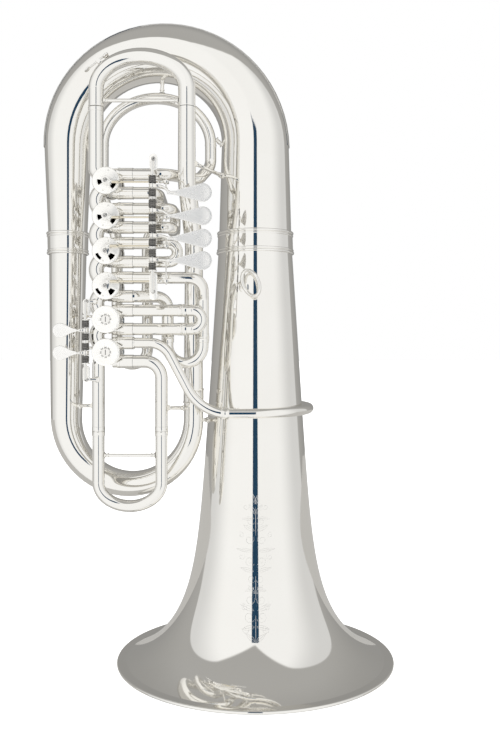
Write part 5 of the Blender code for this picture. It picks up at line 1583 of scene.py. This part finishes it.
# Each scroll on one half: across, height, size, start angle and turns
ENGRAVED_SCROLLS = (
    (9.0, 96.0, 8.0, 200, 1.3), (15.0, 80.0, 6.0, 120, 1.2), (8.0, 118.0, 7.0, 160, 1.3),
    (17.0, 108.0, 5.5, 60, 1.2), (6.0, 146.0, 6.0, 200, 1.2), (8.5, 170.0, 7.5, 210, 1.4),
    (20.0, 176.0, 5.0, 140, 1.1), (9.0, 200.0, 7.0, 150, 1.3), (21.0, 206.0, 4.5, 60, 1.1),
    (7.0, 226.0, 6.0, 200, 1.2), (14.0, 246.0, 5.0, 140, 1.2),
)

# Each leaf on one half: across, height, length, lean and half its width
ENGRAVED_LEAVES = (
    (1.0, 66.0, 16.0, 35, 2.6), (2.0, 84.0, 18.0, -12, 2.8), (3.0, 104.0, 20.0, 22, 3.0),
    (1.0, 126.0, 15.0, 50, 2.4), (2.0, 134.0, 14.0, -20, 2.2), (3.0, 156.0, 20.0, 14, 2.6),
    (4.0, 184.0, 24.0, 6, 2.4), (2.0, 212.0, 18.0, 28, 2.8), (1.0, 236.0, 16.0, 58, 2.6),
    (2.0, 230.0, 18.0, -4, 2.4), (0.5, 250.0, 15.0, 76, 2.2),
)


def on_bell(across, z, off=0.04):
    """A point just off the bell's front."""
    radius = bell_radius(z) + off
    return Vector((across, -math.sqrt(radius * radius - across * across), z))


def cut(work, flat, width=CUT_WIDTH):
    """One engraved line: flat is a list of (across, height) on the bell's front."""
    rod(work, [(on_bell(across, z), width * (0.35 + 0.65 * math.sin(math.pi * i / (len(flat) - 1))))
               for i, (across, z) in enumerate(flat)], 6)


def scroll(across, z, size, start, turns, sign):
    """A line that winds inward round a point."""
    count = max(12, int(22 * turns))
    flat = []
    for i in range(count + 1):
        share = i / count
        angle = math.radians(start) + TURN * turns * share
        reach = size * (1 - 0.82 * share)
        flat.append((sign * (across + reach * math.cos(angle)), z + reach * math.sin(angle)))
    return flat


def leaf(across, z, length, lean, fat, sign):
    """The two edges and the rib of a pointed leaf that grows from a point."""
    tilt = math.radians(lean)
    along, side = (math.cos(tilt), math.sin(tilt)), (-math.sin(tilt), math.cos(tilt))
    edges = []
    for bulge in (-fat, 0.0, fat):
        flat = []
        for i in range(13):
            share = i / 12
            swell = bulge * math.sin(math.pi * share ** 0.8)
            flat.append((sign * (across + along[0] * length * share + side[0] * swell),
                         z + along[1] * length * share + side[1] * swell))
        edges.append(flat)
    return edges


def make_engraving():
    """Both halves of the engraving and the cuts along its middle, as one piece."""
    work = bmesh.new()
    for sign in (-1, 1):
        for across, z, size, start, turns in ENGRAVED_SCROLLS:
            cut(work, scroll(across, z, size, start, turns, sign))
        for across, z, length, lean, fat in ENGRAVED_LEAVES:
            for flat in leaf(across, z, length, lean, fat, sign):
                cut(work, flat, CUT_WIDTH * 0.8)
    for low, high in MIDDLE_CUTS:
        cut(work, [(0.0, low + (high - low) * i / 10) for i in range(11)])
    piece("bell_engraving", work, "instrument", (), (ENGRAVED,))


# Everything, from the body outward

make_bell()
make_ferrules()
make_bow()
make_guard()
make_branches()
make_leadpipe()
for number in AIR_ORDER:
    make_casing(number)
    make_rotor(number)
    make_cap(number)
    make_stop_plate(number)
make_slides()
make_main_slide()
make_fourth_loop()
make_levers()
make_thumb_ring()
make_water_key()
make_braces()
make_engraving()
